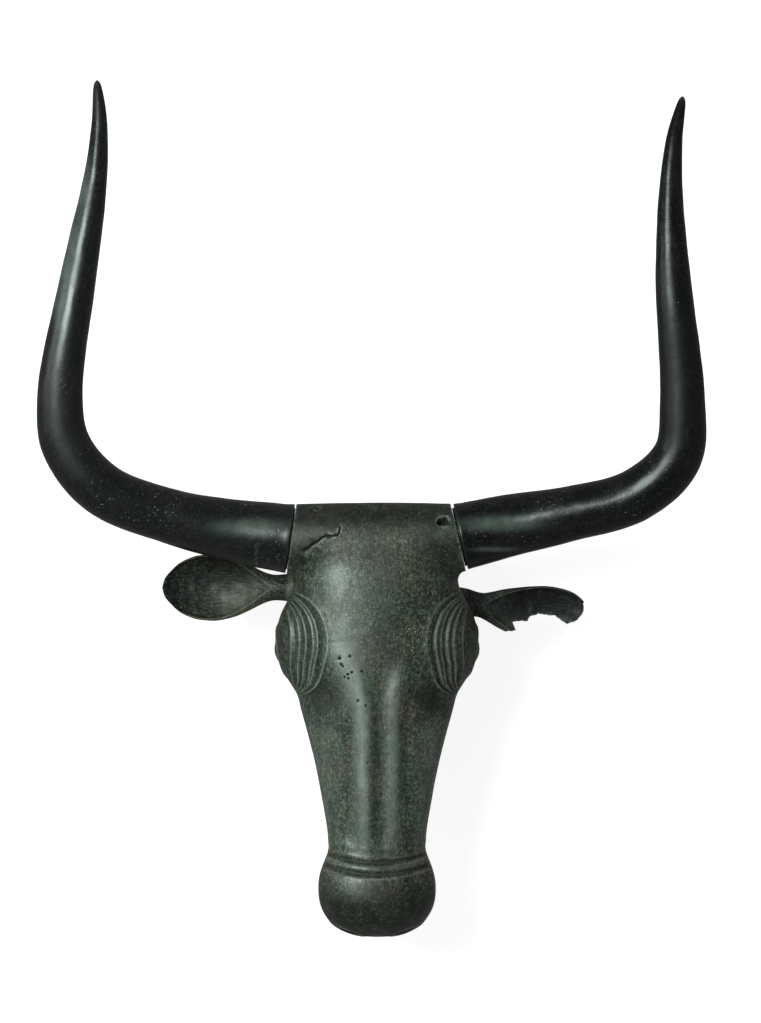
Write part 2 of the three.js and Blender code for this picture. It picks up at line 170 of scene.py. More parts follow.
@dataclass(frozen=True)
class Profile:
    """A smooth curve through stations, level beyond both ends."""

    stations: tuple[Pair, ...]

    def __call__(self, place: Array | float) -> Array:
        """Read the curve.

        Args:
            place: where to read it.

        Returns:
            The curve's values.
        """
        places, values = np.array(self.stations, dtype=float).T
        last = len(places) - 1
        before = np.maximum(np.arange(last + 1) - 1, 0)
        after = np.minimum(np.arange(last + 1) + 1, last)
        slopes = (values[after] - values[before]) / (places[after] - places[before])
        held = np.clip(place, places[0], places[last])
        i = np.clip(np.searchsorted(places, held, side="right") - 1, 0, last - 1)
        span = places[i + 1] - places[i]
        t = (held - places[i]) / span
        lean = slopes[i] * t * (1 - t) ** 2 - slopes[i + 1] * t * t * (1 - t)
        return values[i] + (values[i + 1] - values[i]) * t * t * (3 - 2 * t) + span * lean


@dataclass(frozen=True)
class Swell:
    """A soft random swell of a surface."""

    wavelength: float
    height: float
    seed: int
    waves: int = 14
    pitch_range: Pair = (0.6, 1.6)

    def heights(self, points: Array) -> Array:
        """Read the swell.

        Args:
            points: where to read it.

        Returns:
            Heights round 0, mostly within the swell's own height.
        """
        rng = np.random.default_rng(self.seed)
        directions = rng.normal(size=(self.waves, 3))
        directions /= np.linalg.norm(directions, axis=1)[:, None]
        pitches = 2 * math.pi / (self.wavelength * rng.uniform(*self.pitch_range, self.waves))
        phases = rng.uniform(0, 2 * math.pi, self.waves)
        total = np.zeros(len(points))
        for direction, pitch, phase in zip(directions, pitches, phases):
            total += np.sin(points @ direction * pitch + phase)
        return self.height * (total / math.sqrt(self.waves))


@dataclass(frozen=True)
class Fade:
    """A soft edge, past which a tone holds."""

    start: float
    end: float
    strength: float = 1.0

    def mask(self, value: Array) -> Array:
        """Return how strongly values lie past the edge."""
        return self.strength * rise(value, self.start, self.end)


@dataclass(frozen=True)
class Stripe:
    """A soft-edged stripe along the head, seen from the front."""

    x: float
    width: float
    strength: float
    start: Pair
    end: Pair

    def mask(self, x: Array, y: Array) -> Array:
        """Return how strongly each point lies in the stripe."""
        return self.strength * bump(x - self.x, self.width) * along(y, self.start, self.end)


@dataclass(frozen=True)
class Zone:
    """A soft-edged oval zone of a surface, seen from the front."""

    x: float
    y: float
    half_x: float
    half_y: float
    strength: float = 1.0
    power: float = 2

    def mask(self, x: Array, y: Array) -> Array:
        """Return how strongly each point lies in the zone."""
        away = np.hypot((x - self.x) / self.half_x, (y - self.y) / self.half_y)
        return self.strength * bump(away, 1, self.power)


class Side(Enum):
    """The viewer's left or right, as the sign of x."""

    LEFT = -1
    RIGHT = 1


@dataclass(frozen=True)
class Seam:
    """The flat cut where a horn meets the head."""

    x: float
    y: float
    tilt: float
    groove: float
    thickness: float

    def normal(self) -> Array:
        """Return the direction out of the head."""
        tilt = math.radians(self.tilt)
        return np.array((math.copysign(math.cos(tilt), self.x), math.sin(tilt), 0.0))

    def beyond(self, x: Array, y: Array) -> Array:
        """Return how far points lie beyond the cut, below zero on the head's side."""
        normal = self.normal()
        return (x - self.x) * normal[0] + (y - self.y) * normal[1]


LEFT_SEAM = Seam(x=-89.8, y=83.0, tilt=8.0, groove=1.3, thickness=73.2)
RIGHT_SEAM = Seam(x=85.3, y=84.8, tilt=12.8, groove=2.6, thickness=70.8)
SEAMS = (LEFT_SEAM, RIGHT_SEAM)


@dataclass(frozen=True)
class SkullForm:
    """The large forms of the head: skull, poll, muzzle and the swellings of the eyes."""

    half_width: Profile = Profile((
        (-300, 49), (-234, 51.4), (-205, 55.3), (-155, 64.6), (-118, 73.8),
        (-86, 82.6), (-55, 87), (40, 85.5), (110, 82),
    ))
    face_height: Profile = Profile((
        (-300, 164), (-234, 167), (-150, 178), (-60, 190), (0, 193), (60, 188), (110, 174),
    ))
    widest_height: Profile = Profile(((-300, 126), (-150, 128), (-60, 134), (40, 126), (110, 120)))
    jaw_height: Profile = Profile((
        (-300, 74), (-250, 69), (-200, 54), (-150, 30), (-105, 0), (-60, -40), (0, -60),
    ))
    face_squareness: Profile = Profile(((-300, 2.5), (-150, 2.5), (-40, 2.4), (20, 2.5), (70, 3)))
    jaw_squareness: float = 2.6
    nape_line: Profile = Profile(((0, 113), (60, 106), (120, 98)))
    nape_rounding: float = 34
    nose_end_y: float = -292
    muzzle_y: float = -286
    muzzle_z: float = 121
    muzzle_half: Triple = (62, 50.5, 53)
    muzzle_squareness: float = 2.3
    muzzle_slant: float = 0.24
    muzzle_blend: float = 12
    seat_y: float = 83.9
    seat_z: float = 148
    seat_slope: float = 0.01
    seat_radius: float = 37.3
    seat_taper: float = 0.008
    seat_waist: float = 1.5
    seat_half_width: float = 88
    seat_blend: float = 14
    seat_spare: float = 12
    swelling_at: Triple = (75, -23, 138)
    swelling_half: Triple = (31, 50, 33)
    swelling_blend: float = 16
    ball_at: Triple = (88, -33, 138)
    ball_radius: float = 20
    ball_flatness: float = 0.65
    ball_blend: float = 3

    def distance(self, p: Array) -> Array:
        """Measure how far points are outside the plain form.

        Args:
            p: the points.

        Returns:
            Distances to the form.
        """
        x, y, z = p.T
        aside = np.abs(x)
        middle = self.widest_height(y)
        lift = z - middle
        above = lift > 0
        depth = np.where(above, self.face_height(y) - middle, middle - self.jaw_height(y))
        power = np.where(above, self.face_squareness(y), self.jaw_squareness)
        section = block((x, lift), (self.half_width(y), depth), power)
        closed = -join(-section, self.nape_line(z) - y, self.nape_rounding)
        skull = np.maximum(closed, self.nose_end_y - y)
        radius = self.seat_radius - self.seat_taper * x - self.seat_waist * (x / self.seat_half_width) ** 2
        seat = np.hypot(y - self.seat_y - self.seat_slope * x, z - self.seat_z) - radius
        for seam in SEAMS:
            seat = np.maximum(seat, seam.beyond(x, y) - self.seat_spare)
        set_back = self.muzzle_slant * np.maximum(self.muzzle_z - z, 0)
        muzzle = block(
            (x, y - self.muzzle_y - set_back, z - self.muzzle_z), self.muzzle_half, self.muzzle_squareness
        )
        sx, sy, sz = self.swelling_at
        swelling = block((aside - sx, y - sy, z - sz), self.swelling_half, 2)
        bx, by, bz = self.ball_at
        ball = np.sqrt((aside - bx) ** 2 + (y - by) ** 2 + ((z - bz) / self.ball_flatness) ** 2)
        body = join(skull, seat, self.seat_blend)
        body = join(body, muzzle, self.muzzle_blend)
        body = join(body, swelling, self.swelling_blend)
        return join(body, ball - self.ball_radius, self.ball_blend)


@dataclass(frozen=True)
class Fold:
    """One ridge or crease: where it runs, how wide it is and how far it stands out."""

    at: float
    width: float
    height: float

    def relief(self, place: Array, power: float = 2) -> Array:
        """Return its heights over places across it."""
        return self.height * bump(place - self.at, self.width, power)


@dataclass(frozen=True)
class FaceCarving:
    """The carving of the face, as heights added to the plain form."""

    brow_x: float = 98.5
    brow_y: float = -26
    brow_upper: Pair = (35.5, 0.42)
    brow_lower: Pair = (48, 0.17)
    brow_widest: float = 200
    brow_rounds: int = 18
    brow_fade: float = 8
    brow_sharpness: float = 1.4
    brow_bend: float = 11
    brow_bend_span: Pair = (20, 62)
    brow_deepening: float = 1.1
    brow_deepening_span: Pair = (5, 38)
    brow_right_share: float = 0.75
    brow_lowest: float = 120
    brow_folds: tuple[Fold, ...] = (
        Fold(8.2, 1.9, 1.4), Fold(11, 0.9, 0.5), Fold(17.4, 2.1, 1.6), Fold(20.8, 1.2, -0.4),
        Fold(24.2, 2.1, 2.1), Fold(28, 1.6, -0.6), Fold(31.4, 2.1, 1.5), Fold(36.4, 2.2, 1.9),
        Fold(40.4, 2.0, -1.1), Fold(46.5, 3.6, 1.8),
    )
    bridge_x: float = 2.4
    bridge_spread: Profile = Profile(((-258, 14), (-150, 14.5), (-90, 17), (-60, 29), (-30, 44)))
    bridge_height: Profile = Profile((
        (-258, 0), (-244, 0.9), (-222, 2.8), (-150, 3.8), (-90, 3.2), (-60, 2), (-25, 0),
    ))
    bridge_width: Profile = Profile(((-258, 7), (-150, 8.2), (-90, 10), (-50, 15)))
    bridge_edge_z: Pair = (120, 150)
    furrow: Fold = Fold(15, 6, -1.6)
    furrow_start: Pair = (-250, -220)
    furrow_end: Pair = (-125, -95)
    tear_hollow: Zone = Zone(57, -80, 15, 20, 3.2)
    cheek_path: Profile = Profile(((-215, 50), (-155, 60), (-86, 76)))
    cheek_crest: Fold = Fold(0, 7, 2)
    cheek_start: Pair = (-225, -180)
    cheek_end: Pair = (-110, -80)
    cheek_edge_z: Pair = (125, 150)
    muzzle_folds: tuple[Fold, ...] = (Fold(-243, 5, 0.7), Fold(-257, 2.9, -2.3), Fold(-269.5, 3.3, -2.6))
    fold_rise: float = 7.6
    fold_half_span: float = 48
    fold_edge_z: Pair = (121, 141)
    nostril_at: Pair = (30, 133)
    nostril_half: Pair = (11, 7)
    nostril_depth: float = 8
    nostril_droop: float = 0.35
    nostril_rim: Fold = Fold(1.5, 0.35, 1.2)
    nostril_fade_y: Pair = (-303, -317)
    mouth: Fold = Fold(96, 2.4, -3.6)
    mouth_fade_y: Pair = (-245, -285)
    eye_y: float = -34.5
    eye_z: float = 134.5
    eye_half_length: float = 25
    eye_half_height: float = 11.5
    eye_ends: Pair = (1.25, 0.95)
    eye_inner_x: float = 60
    lid: Fold = Fold(1.6, 1.9, 1.7)
    lid_crease: Fold = Fold(-0.7, 1.0, -1.6)
    front_z: float = 112

    def height(self, p: Array) -> Array:
        """Return the summed heights of the carving at points near the skin."""
        return sum(part(p) for part in (self._brow, self._bridge, self._cheeks, self._muzzle, self._eye))

    def _brow(self, p: Array) -> Array:
        """Raise the bowed folds nested round the eye, from the lid to the forehead.

        Args:
            p: the points.

        Returns:
            Heights.
        """
        x, y, z = p.T
        up_down = y - self.brow_y
        inward = self.brow_x - np.abs(x) - self.brow_bend * rise(-up_down, *self.brow_bend_span)
        widest = self.brow_folds[-1].at + 4 * self.brow_folds[-1].width
        reach = self.brow_upper[0] + self.brow_upper[1] * widest
        near = (inward > 0) & (inward < widest) & (np.abs(up_down) < reach) & (z > self.brow_lowest)
        inward, up_down = inward[near], up_down[near]
        shortest = np.where(up_down > 0, self.brow_upper[0], self.brow_lower[0])
        growth = np.where(up_down > 0, self.brow_upper[1], self.brow_lower[1])
        bow = close_in(
            lambda bow: (inward / bow) ** 2 + (up_down / (shortest + growth * bow)) ** 2 <= 1,
            np.zeros(len(inward)), np.full(len(inward), self.brow_widest), self.brow_rounds,
        )
        ends = 1 - rise(np.abs(up_down) - shortest - growth * bow, -self.brow_fade, 0)
        deeper = 1 + self.brow_deepening * rise(-up_down, *self.brow_deepening_span)
        folds = sum(
            fold.relief(bow, self.brow_sharpness) * np.where(fold.height < 0, deeper, 1)
            for fold in self.brow_folds
        )
        heights = np.zeros(len(x))
        heights[near] = folds * ends * np.where(x[near] > 0, self.brow_right_share, 1.0)
        return heights

    def _bridge(self, p: Array) -> Array:
        """Raise the two ridges of the nose, which part towards the brows.

        Args:
            p: the points.

        Returns:
            Heights.
        """
        x, y, z = p.T
        aside = np.abs(x - self.bridge_x)
        spread = self.bridge_spread(y)
        ridge = self.bridge_height(y) * bump(aside - spread, self.bridge_width(y), 3)
        furrow = self.furrow.relief(aside - spread) * along(y, self.furrow_start, self.furrow_end)
        return (ridge + furrow) * rise(z, *self.bridge_edge_z)

    def _cheeks(self, p: Array) -> Array:
        """Raise the crest of each cheek and hollow the place under each brow.

        Args:
            p: the points.

        Returns:
            Heights.
        """
        x, y, z = p.T
        aside = np.abs(x)
        run = along(y, self.cheek_start, self.cheek_end) * rise(z, *self.cheek_edge_z)
        crest = self.cheek_crest.relief(aside - self.cheek_path(y)) * run
        return crest - self.tear_hollow.mask(aside, y) * (z > self.front_z)

    def _muzzle(self, p: Array) -> Array:
        """Press in the creases above the muzzle, the nostrils and the mouth.

        Args:
            p: the points.

        Returns:
            Heights, mostly below zero.
        """
        x, y, z = p.T
        smile = self.fold_rise * (x / self.fold_half_span) ** 2
        creases = sum(fold.relief(y - smile) for fold in self.muzzle_folds) * rise(z, *self.fold_edge_z)
        aside = np.abs(x) - self.nostril_at[0]
        drop = z - self.nostril_at[1] + self.nostril_droop * aside
        away = np.hypot(aside / self.nostril_half[0], drop / self.nostril_half[1])
        nostril = self.nostril_rim.relief(away) - self.nostril_depth * bump(away, 1, 3)
        mouth = self.mouth.relief(z) * rise(y, *self.mouth_fade_y)
        return creases + nostril * rise(y, *self.nostril_fade_y) + mouth

    def _eye(self, p: Array) -> Array:
        """Raise the lids round each eyeball, with a crease along their inner edge.

        Args:
            p: the points.

        Returns:
            Heights.
        """
        x, y, z = p.T
        share = (y - self.eye_y) / self.eye_half_length
        opening = self.eye_half_height * np.maximum(1 - share * share, 0)
        off_edge = np.abs(z - self.eye_z) - opening
        ends = rise(np.abs(share), *self.eye_ends) * (np.abs(x) > self.eye_inner_x)
        return (self.lid.relief(off_edge) + self.lid_crease.relief(off_edge)) * ends


@dataclass(frozen=True)
class SkinGrid:
    """Where the rays start and how they spread over the head, as (from, to, step)."""

    back_y: float = 40
    back_z: float = 112
    front_y: float = -285
    front_z: float = 121
    reach: float = 230
    stride: float = 5
    cast_rounds: int = 13
    poll_steps: Triple = (90, 0, 1.6)
    run_steps: tuple[Triple, ...] = (
        (40, 24, 2.0), (24, -84, 1.75), (-84, -240, 2.6), (-240, -276, 1.6), (-276, -285, 2),
    )
    muzzle_steps: Triple = (0, -90, 2.6)
    column_steps: tuple[Triple, ...] = ((0, 30, 1.4), (30, 66, 1.3), (66, 113, 2.2), (113, 180, 6))
    settle_reach: float = 4
    settle_above: float = 6
    settle_rounds: int = 11
    carved_cuts: int = 2
    damaged_cuts: int = 3
    fine_brow_x: float = 43
    fine_brow_y: Pair = (-87, 29)
    fine_brow_z: float = 122
    fine_crease_y: Pair = (-276, -240)
    fine_crease_z: float = 133

    def spread(self, *zones: Triple) -> Array:
        """List values from zone to zone in near-even steps.

        Args:
            zones: (from, to, step) for each zone, end to end.

        Returns:
            The values, each once.
        """
        parts = []
        for start, end, step in zones:
            count = max(1, round(abs(end - start) / step))
            parts.append(np.linspace(start, end, count + 1)[:-1])
        return np.concatenate(parts + [np.array([zones[-1][1]], dtype=float)])

    def core(self, y: Array) -> Array:
        """Return the points from which the rays start, for places along the head."""
        share = (y - self.back_y) / (self.front_y - self.back_y)
        back = np.array((0.0, self.back_y, self.back_z))
        return back + (np.array((0.0, self.front_y, self.front_z)) - back) * np.expand_dims(share, -1)

    def rays(self) -> tuple[Array, Array, int, int]:
        """Lay out the rays, ring by ring from the nape to the end of the muzzle.

        Returns:
            Start points, directions, the number of rings and the number of columns.
        """
        half = self.spread(*self.column_steps)
        angles = np.radians(np.concatenate((half, 360 - half[1:-1][::-1])))
        rings = [(self.back_y, math.radians(tilt)) for tilt in self.spread(self.poll_steps)[1:-1]]
        rings += [(y, 0.0) for y in self.spread(*self.run_steps)]
        rings += [(self.front_y, math.radians(tilt)) for tilt in self.spread(self.muzzle_steps)[1:-1]]
        starts, ways = [], []
        for y, tilt in rings:
            level = math.cos(tilt)
            lean = np.full(len(angles), math.sin(tilt))
            ways.append(np.stack((np.sin(angles) * level, lean, np.cos(angles) * level), axis=1))
            starts.append(self.core(np.full(len(angles), y)))
        starts.append(self.core(np.array((self.back_y, self.front_y))))
        ways.append(np.array(((0.0, 1.0, 0.0), (0.0, -1.0, 0.0))))
        return np.concatenate(starts), np.concatenate(ways), len(rings), len(angles)


def grid_faces(rings: int, columns: int) -> list[tuple[int, ...]]:
    """Join rings of points into a closed skin whose two poles are the last two points.

    Args:
        rings: how many rings there are.
        columns: how many points each ring has.

    Returns:
        Faces as tuples of point numbers.
    """
    faces = []
    for ring in range(rings - 1):
        here = ring * columns
        for column in range(columns):
            beside = (column + 1) % columns
            faces.append((here + column, here + columns + column, here + columns + beside, here + beside))
    first_pole = rings * columns
    last = (rings - 1) * columns
    for column in range(columns):
        beside = (column + 1) % columns
        faces.append((first_pole, column, beside))
        faces.append((first_pole + 1, last + beside, last + column))
    return faces


def ringed_skin(points: Array, rings: int, columns: int) -> BMesh:
    """Make a closed mesh from rings of points and two poles.

    Args:
        points: the points, ring by ring, then the poles.
        rings: how many rings there are.
        columns: how many points each ring has.

    Returns:
        The mesh.
    """
    bm = bmesh.new()
    verts = [bm.verts.new(point) for point in points]
    for face in grid_faces(rings, columns):
        bm.faces.new([verts[i] for i in face])
    return bm


def points_of(bm: BMesh) -> Array:
    """Return the points of a mesh."""
    return np.array([vert.co for vert in bm.verts], dtype=float)


def move_points(bm: BMesh, points: Array) -> None:
    """Move the points of a mesh."""
    for vert, point in zip(bm.verts, points):
        vert.co = point


def finished_mesh(bm: BMesh, name: str) -> bpy.types.Mesh:
    """Turn a working mesh into a named one and free it.

    Args:
        bm: the working mesh.
        name: the new mesh's name.

    Returns:
        The new mesh.
    """
    mesh = bpy.data.meshes.new(name)
    bm.to_mesh(mesh)
    bm.free()
    return mesh


def add_object(name: str, data: bpy.types.ID) -> bpy.types.Object:
    """Make an object and link it to the scene.

    Args:
        name: the object's name.
        data: its mesh, light or camera.

    Returns:
        The object.
    """
    made = bpy.data.objects.new(name, data)
    bpy.context.scene.collection.objects.link(made)
    return made


def slice_off(bm: BMesh, geometry: list, at: Triple, outward: Triple | Array) -> None:
    """Cut away what lies beyond a plane, close the cut with a flat face and keep its edge crisp.

    Args:
        bm: the mesh.
        geometry: the points, edges and faces that the cut may reach.
        at: a point of the plane.
        outward: points to the side that goes.
    """
    bmesh.ops.bisect_plane(
        bm, geom=geometry, dist=CUT_PRECISION, plane_co=at, plane_no=outward, clear_outer=True
    )
    rim = [edge for edge in bm.edges if edge.is_boundary]
    bmesh.ops.holes_fill(bm, edges=rim, sides=0)
    for edge in rim:
        edge.smooth = False


class Wear(Enum):
    """The surface readings that the meshes carry, by attribute name."""

    HOLLOW = "hollow"
    CREST = "crest"
    # Dark marks: the crack, the hole and the pits, partly their own dirt and partly painted shade of their
    # depth, and the horns' dull zones.
    MARK = "mark"
    PATCH = "patch"
    CRUST = "crust"
    # Painted shade over turned-away and hollow places of the head, with a darker tone on the muzzle, down
    # the face and on the ears.
    PAINTED_SHADE_AND_DARK_TONE = "shade"
    # Painted highlight on the head and the horns, with a paler combed tone on the ears.
    PAINTED_HIGHLIGHT_AND_PALE_TONE = "pale"


@dataclass(frozen=True)
class Noise:
    """A noise over the object: its waves per metre, its finer layers and the values that show."""

    stretch: Triple
    detail: float
    roughness: float
    shown: Fade = Fade(0, 1)


@dataclass(frozen=True)
class Dots:
    """Round dots in scattered cells: how far they reach and how many cells have one."""

    reach: Fade
    luck: Fade
    channel: int


BLOTCHES = Noise((26, 17, 26), 8, 0.72, Fade(0.46, 0.57))
CLOUDS = Noise((62, 32, 62), 6, 0.75, Fade(0.47, 0.58, 0.75))
DRIPS = Noise((480, 90, 480), 3, 0.6, Fade(0.48, 0.66, 0.8))
FLECKS = (
    (Noise((330, 230, 330), 3, 0.85), Fade(0.52, 0.41), Fade(0.55, 0.66, 0.6)),
    (Noise((640, 520, 640), 2, 0.7), Fade(0.5, 0.38, 0.85), Fade(0.56, 0.7, 0.35)),
)
SPECKS = Dots(Fade(0.3, 0.16), Fade(0.76, 0.84), 1)
SPECKS_PER_METRE = 360.0
SPECK_PATCHES = Noise((19, 15, 19), 4, 0.6, Fade(0.56, 0.68, 0.5))
PITS = Dots(Fade(0.34, 0.12), Fade(0.62, 0.9), 0)
PIT_CROWDS = Noise((22, 16, 22), 2, 0.5, Fade(0.42, 0.64))
GRIT = Noise((90, 60, 90), 4, 0.6, Fade(0.3, 0.7))
LEAST_GRIT = 0.55
LUMPS = Noise((85, 60, 85), 4, 0.55)
FILED_ALONG = Noise((700, 45, 700), 3, 0.6)
FILED_ACROSS = Noise((40, 620, 40), 2, 0.5)


class Graph:
    """A short way to lay out shader nodes in one tree."""

    def __init__(self, tree: Tree) -> None:
        """Start with a tree to fill."""
        self.tree = tree
        self.place: Socket | None = None

    def feed(self, target: Socket, value: object) -> None:
        """Link a socket to an input, or set a plain value on it.

        Args:
            target: the input.
            value: a socket, a number, a vector, a colour or nothing.
        """
        if isinstance(value, Socket):
            self.tree.links.new(value, target)
        elif value is not None:
            target.default_value = (*value, 1) if target.type == "RGBA" else value

    def node(self, kind: str, **values: object) -> bpy.types.Node:
        """Add a node.

        Args:
            kind: the node's type, without the word ShaderNode.
            values: its properties, and its inputs by name with spaces as underscores.

        Returns:
            The new node.
        """
        made = self.tree.nodes.new("ShaderNode" + kind)
        for name, value in values.items():
            if hasattr(made, name):
                setattr(made, name, value)
            else:
                self.feed(made.inputs[name.replace("_", " ")], value)
        return made

    def math(self, operation: str, a: object, b: object = None) -> Socket:
        """Add a sum on one or two values.

        Args:
            operation: the Math node's operation.
            a: a socket or a number.
            b: a socket, a number or nothing.

        Returns:
            The result's socket.
        """
        made = self.node("Math", operation=operation)
        for target, value in zip(made.inputs, (a, b)):
            self.feed(target, value)
        return made.outputs[0]

    def times(self, first: Socket, *others: object) -> Socket:
        """Multiply a socket by sockets or numbers.

        Args:
            first: the first factor.
            others: the other factors.

        Returns:
            The product's socket.
        """
        for other in others:
            first = self.math("MULTIPLY", first, other)
        return first

    def remap(self, value: Socket, low: float, high: float, to_low: float = 0.0,
              to_high: float = 1.0) -> Socket:
        """Stretch a range of values onto another, smoothly and clamped.

        Args:
            value: the socket to read.
            low: start of the range read.
            high: end of the range read.
            to_low: what the start becomes.
            to_high: what the end becomes.

        Returns:
            The result's socket.
        """
        made = self.node(
            "MapRange", interpolation_type="SMOOTHSTEP", Value=value, From_Min=low, From_Max=high,
            To_Min=to_low, To_Max=to_high,
        )
        return made.outputs["Result"]

    def mix(self, mask: Socket, under: object, over: object) -> Socket:
        """Lay one colour over another through a mask.

        Args:
            mask: how much of the upper colour shows.
            under: a socket or a colour.
            over: a socket or a colour.

        Returns:
            The mixed colour's socket.
        """
        made = self.node("Mix", data_type="RGBA")
        # A Mix node keeps its colours in inputs 6 and 7 and gives their mix in output 2.
        for slot, value in ((0, mask), (6, under), (7, over)):
            self.feed(made.inputs[slot], value)
        return made.outputs[2]

    def spot(self) -> Socket:
        """Return the place on the object, turned where the group turns it."""
        return self.place or self.node("TexCoord").outputs["Object"]

    def fade(self, value: Socket, edge: Fade) -> Socket:
        """Return how strongly a value lies past a soft edge."""
        return self.remap(value, edge.start, edge.end, 0.0, edge.strength)

    def noise(self, noise: Noise) -> Socket:
        """Read a noise's plain values over the object.

        Args:
            noise: the noise.

        Returns:
            The values' socket.
        """
        mapping = self.node("Mapping", Vector=self.spot(), Scale=noise.stretch)
        made = self.node(
            "TexNoise", Vector=mapping.outputs["Vector"], Scale=1.0, Detail=noise.detail,
            Roughness=noise.roughness,
        )
        return made.outputs["Fac"]

    def clouds(self, noise: Noise) -> Socket:
        """Return the part of a noise that shows."""
        return self.fade(self.noise(noise), noise.shown)

    def dots(self, dots: Dots, scale: object) -> Socket:
        """Scatter dots over the object.

        Args:
            dots: how they fill their cells.
            scale: cells per metre.

        Returns:
            The dots' socket.
        """
        cells = self.node("TexVoronoi", feature="F1", Vector=self.spot(), Scale=scale)
        luck = self.node("SeparateColor", Color=cells.outputs["Color"]).outputs[dots.channel]
        return self.times(self.fade(cells.outputs["Distance"], dots.reach), self.fade(luck, dots.luck))

    def reading(self, kind: Wear) -> Socket:
        """Return one of the meshes' own readings."""
        return self.node("Attribute", attribute_name=kind.value).outputs["Fac"]

    def group(self, tree: Tree, **values: object) -> bpy.types.bpy_prop_collection:
        """Place a shared group with its own values.

        Args:
            tree: the group's tree.
            values: its inputs by name with spaces as underscores.

        Returns:
            The group's outputs.
        """
        placed = self.node("Group", node_tree=tree)
        for name, value in values.items():
            self.feed(placed.inputs[name.replace("_", " ")], value)
        return placed.outputs


class GroupGraph(Graph):
    """The graph of a new shader node group."""

    def __init__(self, name: str, inputs: dict, outputs: dict) -> None:
        """Make the group's tree and its sockets.

        Args:
            name: the group's name.
            inputs: names of the inputs by kind.
            outputs: names of the outputs by kind.
        """
        super().__init__(bpy.data.node_groups.new(name, "ShaderNodeTree"))
        for way, sockets in (("INPUT", inputs), ("OUTPUT", outputs)):
            for kind, labels in sockets.items():
                for label in labels:
                    self.tree.interface.new_socket(label, in_out=way, socket_type="NodeSocket" + kind)
        self.given = self.tree.nodes.new("NodeGroupInput").outputs
        self.made = self.tree.nodes.new("NodeGroupOutput").inputs

    def give(self, **results: Socket) -> Tree:
        """Put out the results.

        Args:
            results: a socket for each output, by name.

        Returns:
            The finished group.
        """
        for name, socket in results.items():
            self.feed(self.made[name], socket)
        return self.tree


def patina_group() -> Tree:
    """Build the mottled, streaked and speckled colour that every bronze here has.

    Returns:
        The node group.
    """
    graph = GroupGraph(
        "patina",
        {
            "Color": ("Ground", "Stain", "Bloom", "Dark", "Crust"),
            "Float": ("Stain Amount", "Streak Amount", "Grain Amount", "Speckle Amount", "Turn"),
        },
        {"Color": ("Color",), "Float": ("Speckle", "Blotch")},
    )
    given = graph.given
    graph.place = graph.node(
        "VectorRotate", rotation_type="Z_AXIS", Vector=graph.spot(), Angle=given["Turn"]
    ).outputs["Vector"]
    blotch = graph.clouds(BLOTCHES)
    colour = graph.mix(graph.times(blotch, given["Stain Amount"]), given["Ground"], given["Stain"])
    shade = graph.math("MAXIMUM", graph.clouds(CLOUDS), graph.clouds(DRIPS))
    colour = graph.mix(graph.times(shade, given["Streak Amount"]), colour, given["Dark"])
    for noise, dark, bloom in FLECKS:
        values = graph.noise(noise)
        for edge, tone in ((dark, "Dark"), (bloom, "Bloom")):
            fleck = graph.times(graph.fade(values, edge), given["Grain Amount"])
            colour = graph.mix(fleck, colour, given[tone])
    patchy = graph.math("MAXIMUM", graph.clouds(SPECK_PATCHES), graph.reading(Wear.CRUST))
    speckle = graph.times(graph.dots(SPECKS, SPECKS_PER_METRE), patchy, given["Speckle Amount"])
    return graph.give(Color=graph.mix(speckle, colour, given["Crust"]), Speckle=speckle, Blotch=blotch)


def pitting_group() -> Tree:
    """Build small casting pits, thicker in some places than in others.

    Returns:
        The node group.
    """
    graph = GroupGraph("pitting", {"Float": ("Scale", "Amount")}, {"Float": ("Pits", "Height")})
    dots = graph.dots(PITS, graph.given["Scale"])
    pits = graph.times(dots, graph.clouds(PIT_CROWDS), graph.given["Amount"])
    return graph.give(Pits=pits, Height=graph.times(pits, -1.0))


def wear_and_light_group() -> Tree:
    """Build the darker hollows and paler crests, with the painted shade and painted highlight, that the
    meshes' own readings give.

    Returns:
        The node group.
    """
    graph = GroupGraph(
        "wear_and_light",
        {"Color": ("Color", "Grime", "Worn"), "Float": ("Grime Amount", "Worn Amount")},
        {"Color": ("Color",), "Float": ("Hollow", "Mark")},
    )
    given = graph.given
    hollow, mark = graph.reading(Wear.HOLLOW), graph.reading(Wear.MARK)
    grit = graph.remap(graph.noise(GRIT), GRIT.shown.start, GRIT.shown.end, LEAST_GRIT, 1.0)
    colour = given["Color"]
    # Pale readings lay painted highlight, and on the ears a paler tone, in the worn colour; shade readings
    # lay painted shade, and some darker tone, in the grime colour.
    for mask, tone in (
        (graph.times(graph.reading(Wear.PAINTED_HIGHLIGHT_AND_PALE_TONE), grit), "Worn"),
        (graph.times(graph.reading(Wear.PAINTED_SHADE_AND_DARK_TONE), grit), "Grime"),
        (graph.times(graph.reading(Wear.CREST), grit, given["Worn Amount"]), "Worn"),
        (graph.times(hollow, grit, given["Grime Amount"]), "Grime"),
        (mark, "Grime"),
    ):
        colour = graph.mix(mask, colour, given[tone])
    return graph.give(Color=colour, Hollow=hollow, Mark=mark)


def cast_skin_group() -> Tree:
    """Build the fine unevenness of a cast and filed surface.

    Returns:
        The node group.
    """
    graph = GroupGraph("cast_skin", {"Float": ("Filing",)}, {"Float": ("Height",)})
    marks = graph.math("ADD", graph.noise(FILED_ALONG), graph.noise(FILED_ACROSS))
    files = graph.times(marks, graph.given["Filing"])
    return graph.give(Height=graph.math("ADD", graph.noise(LUMPS), files))


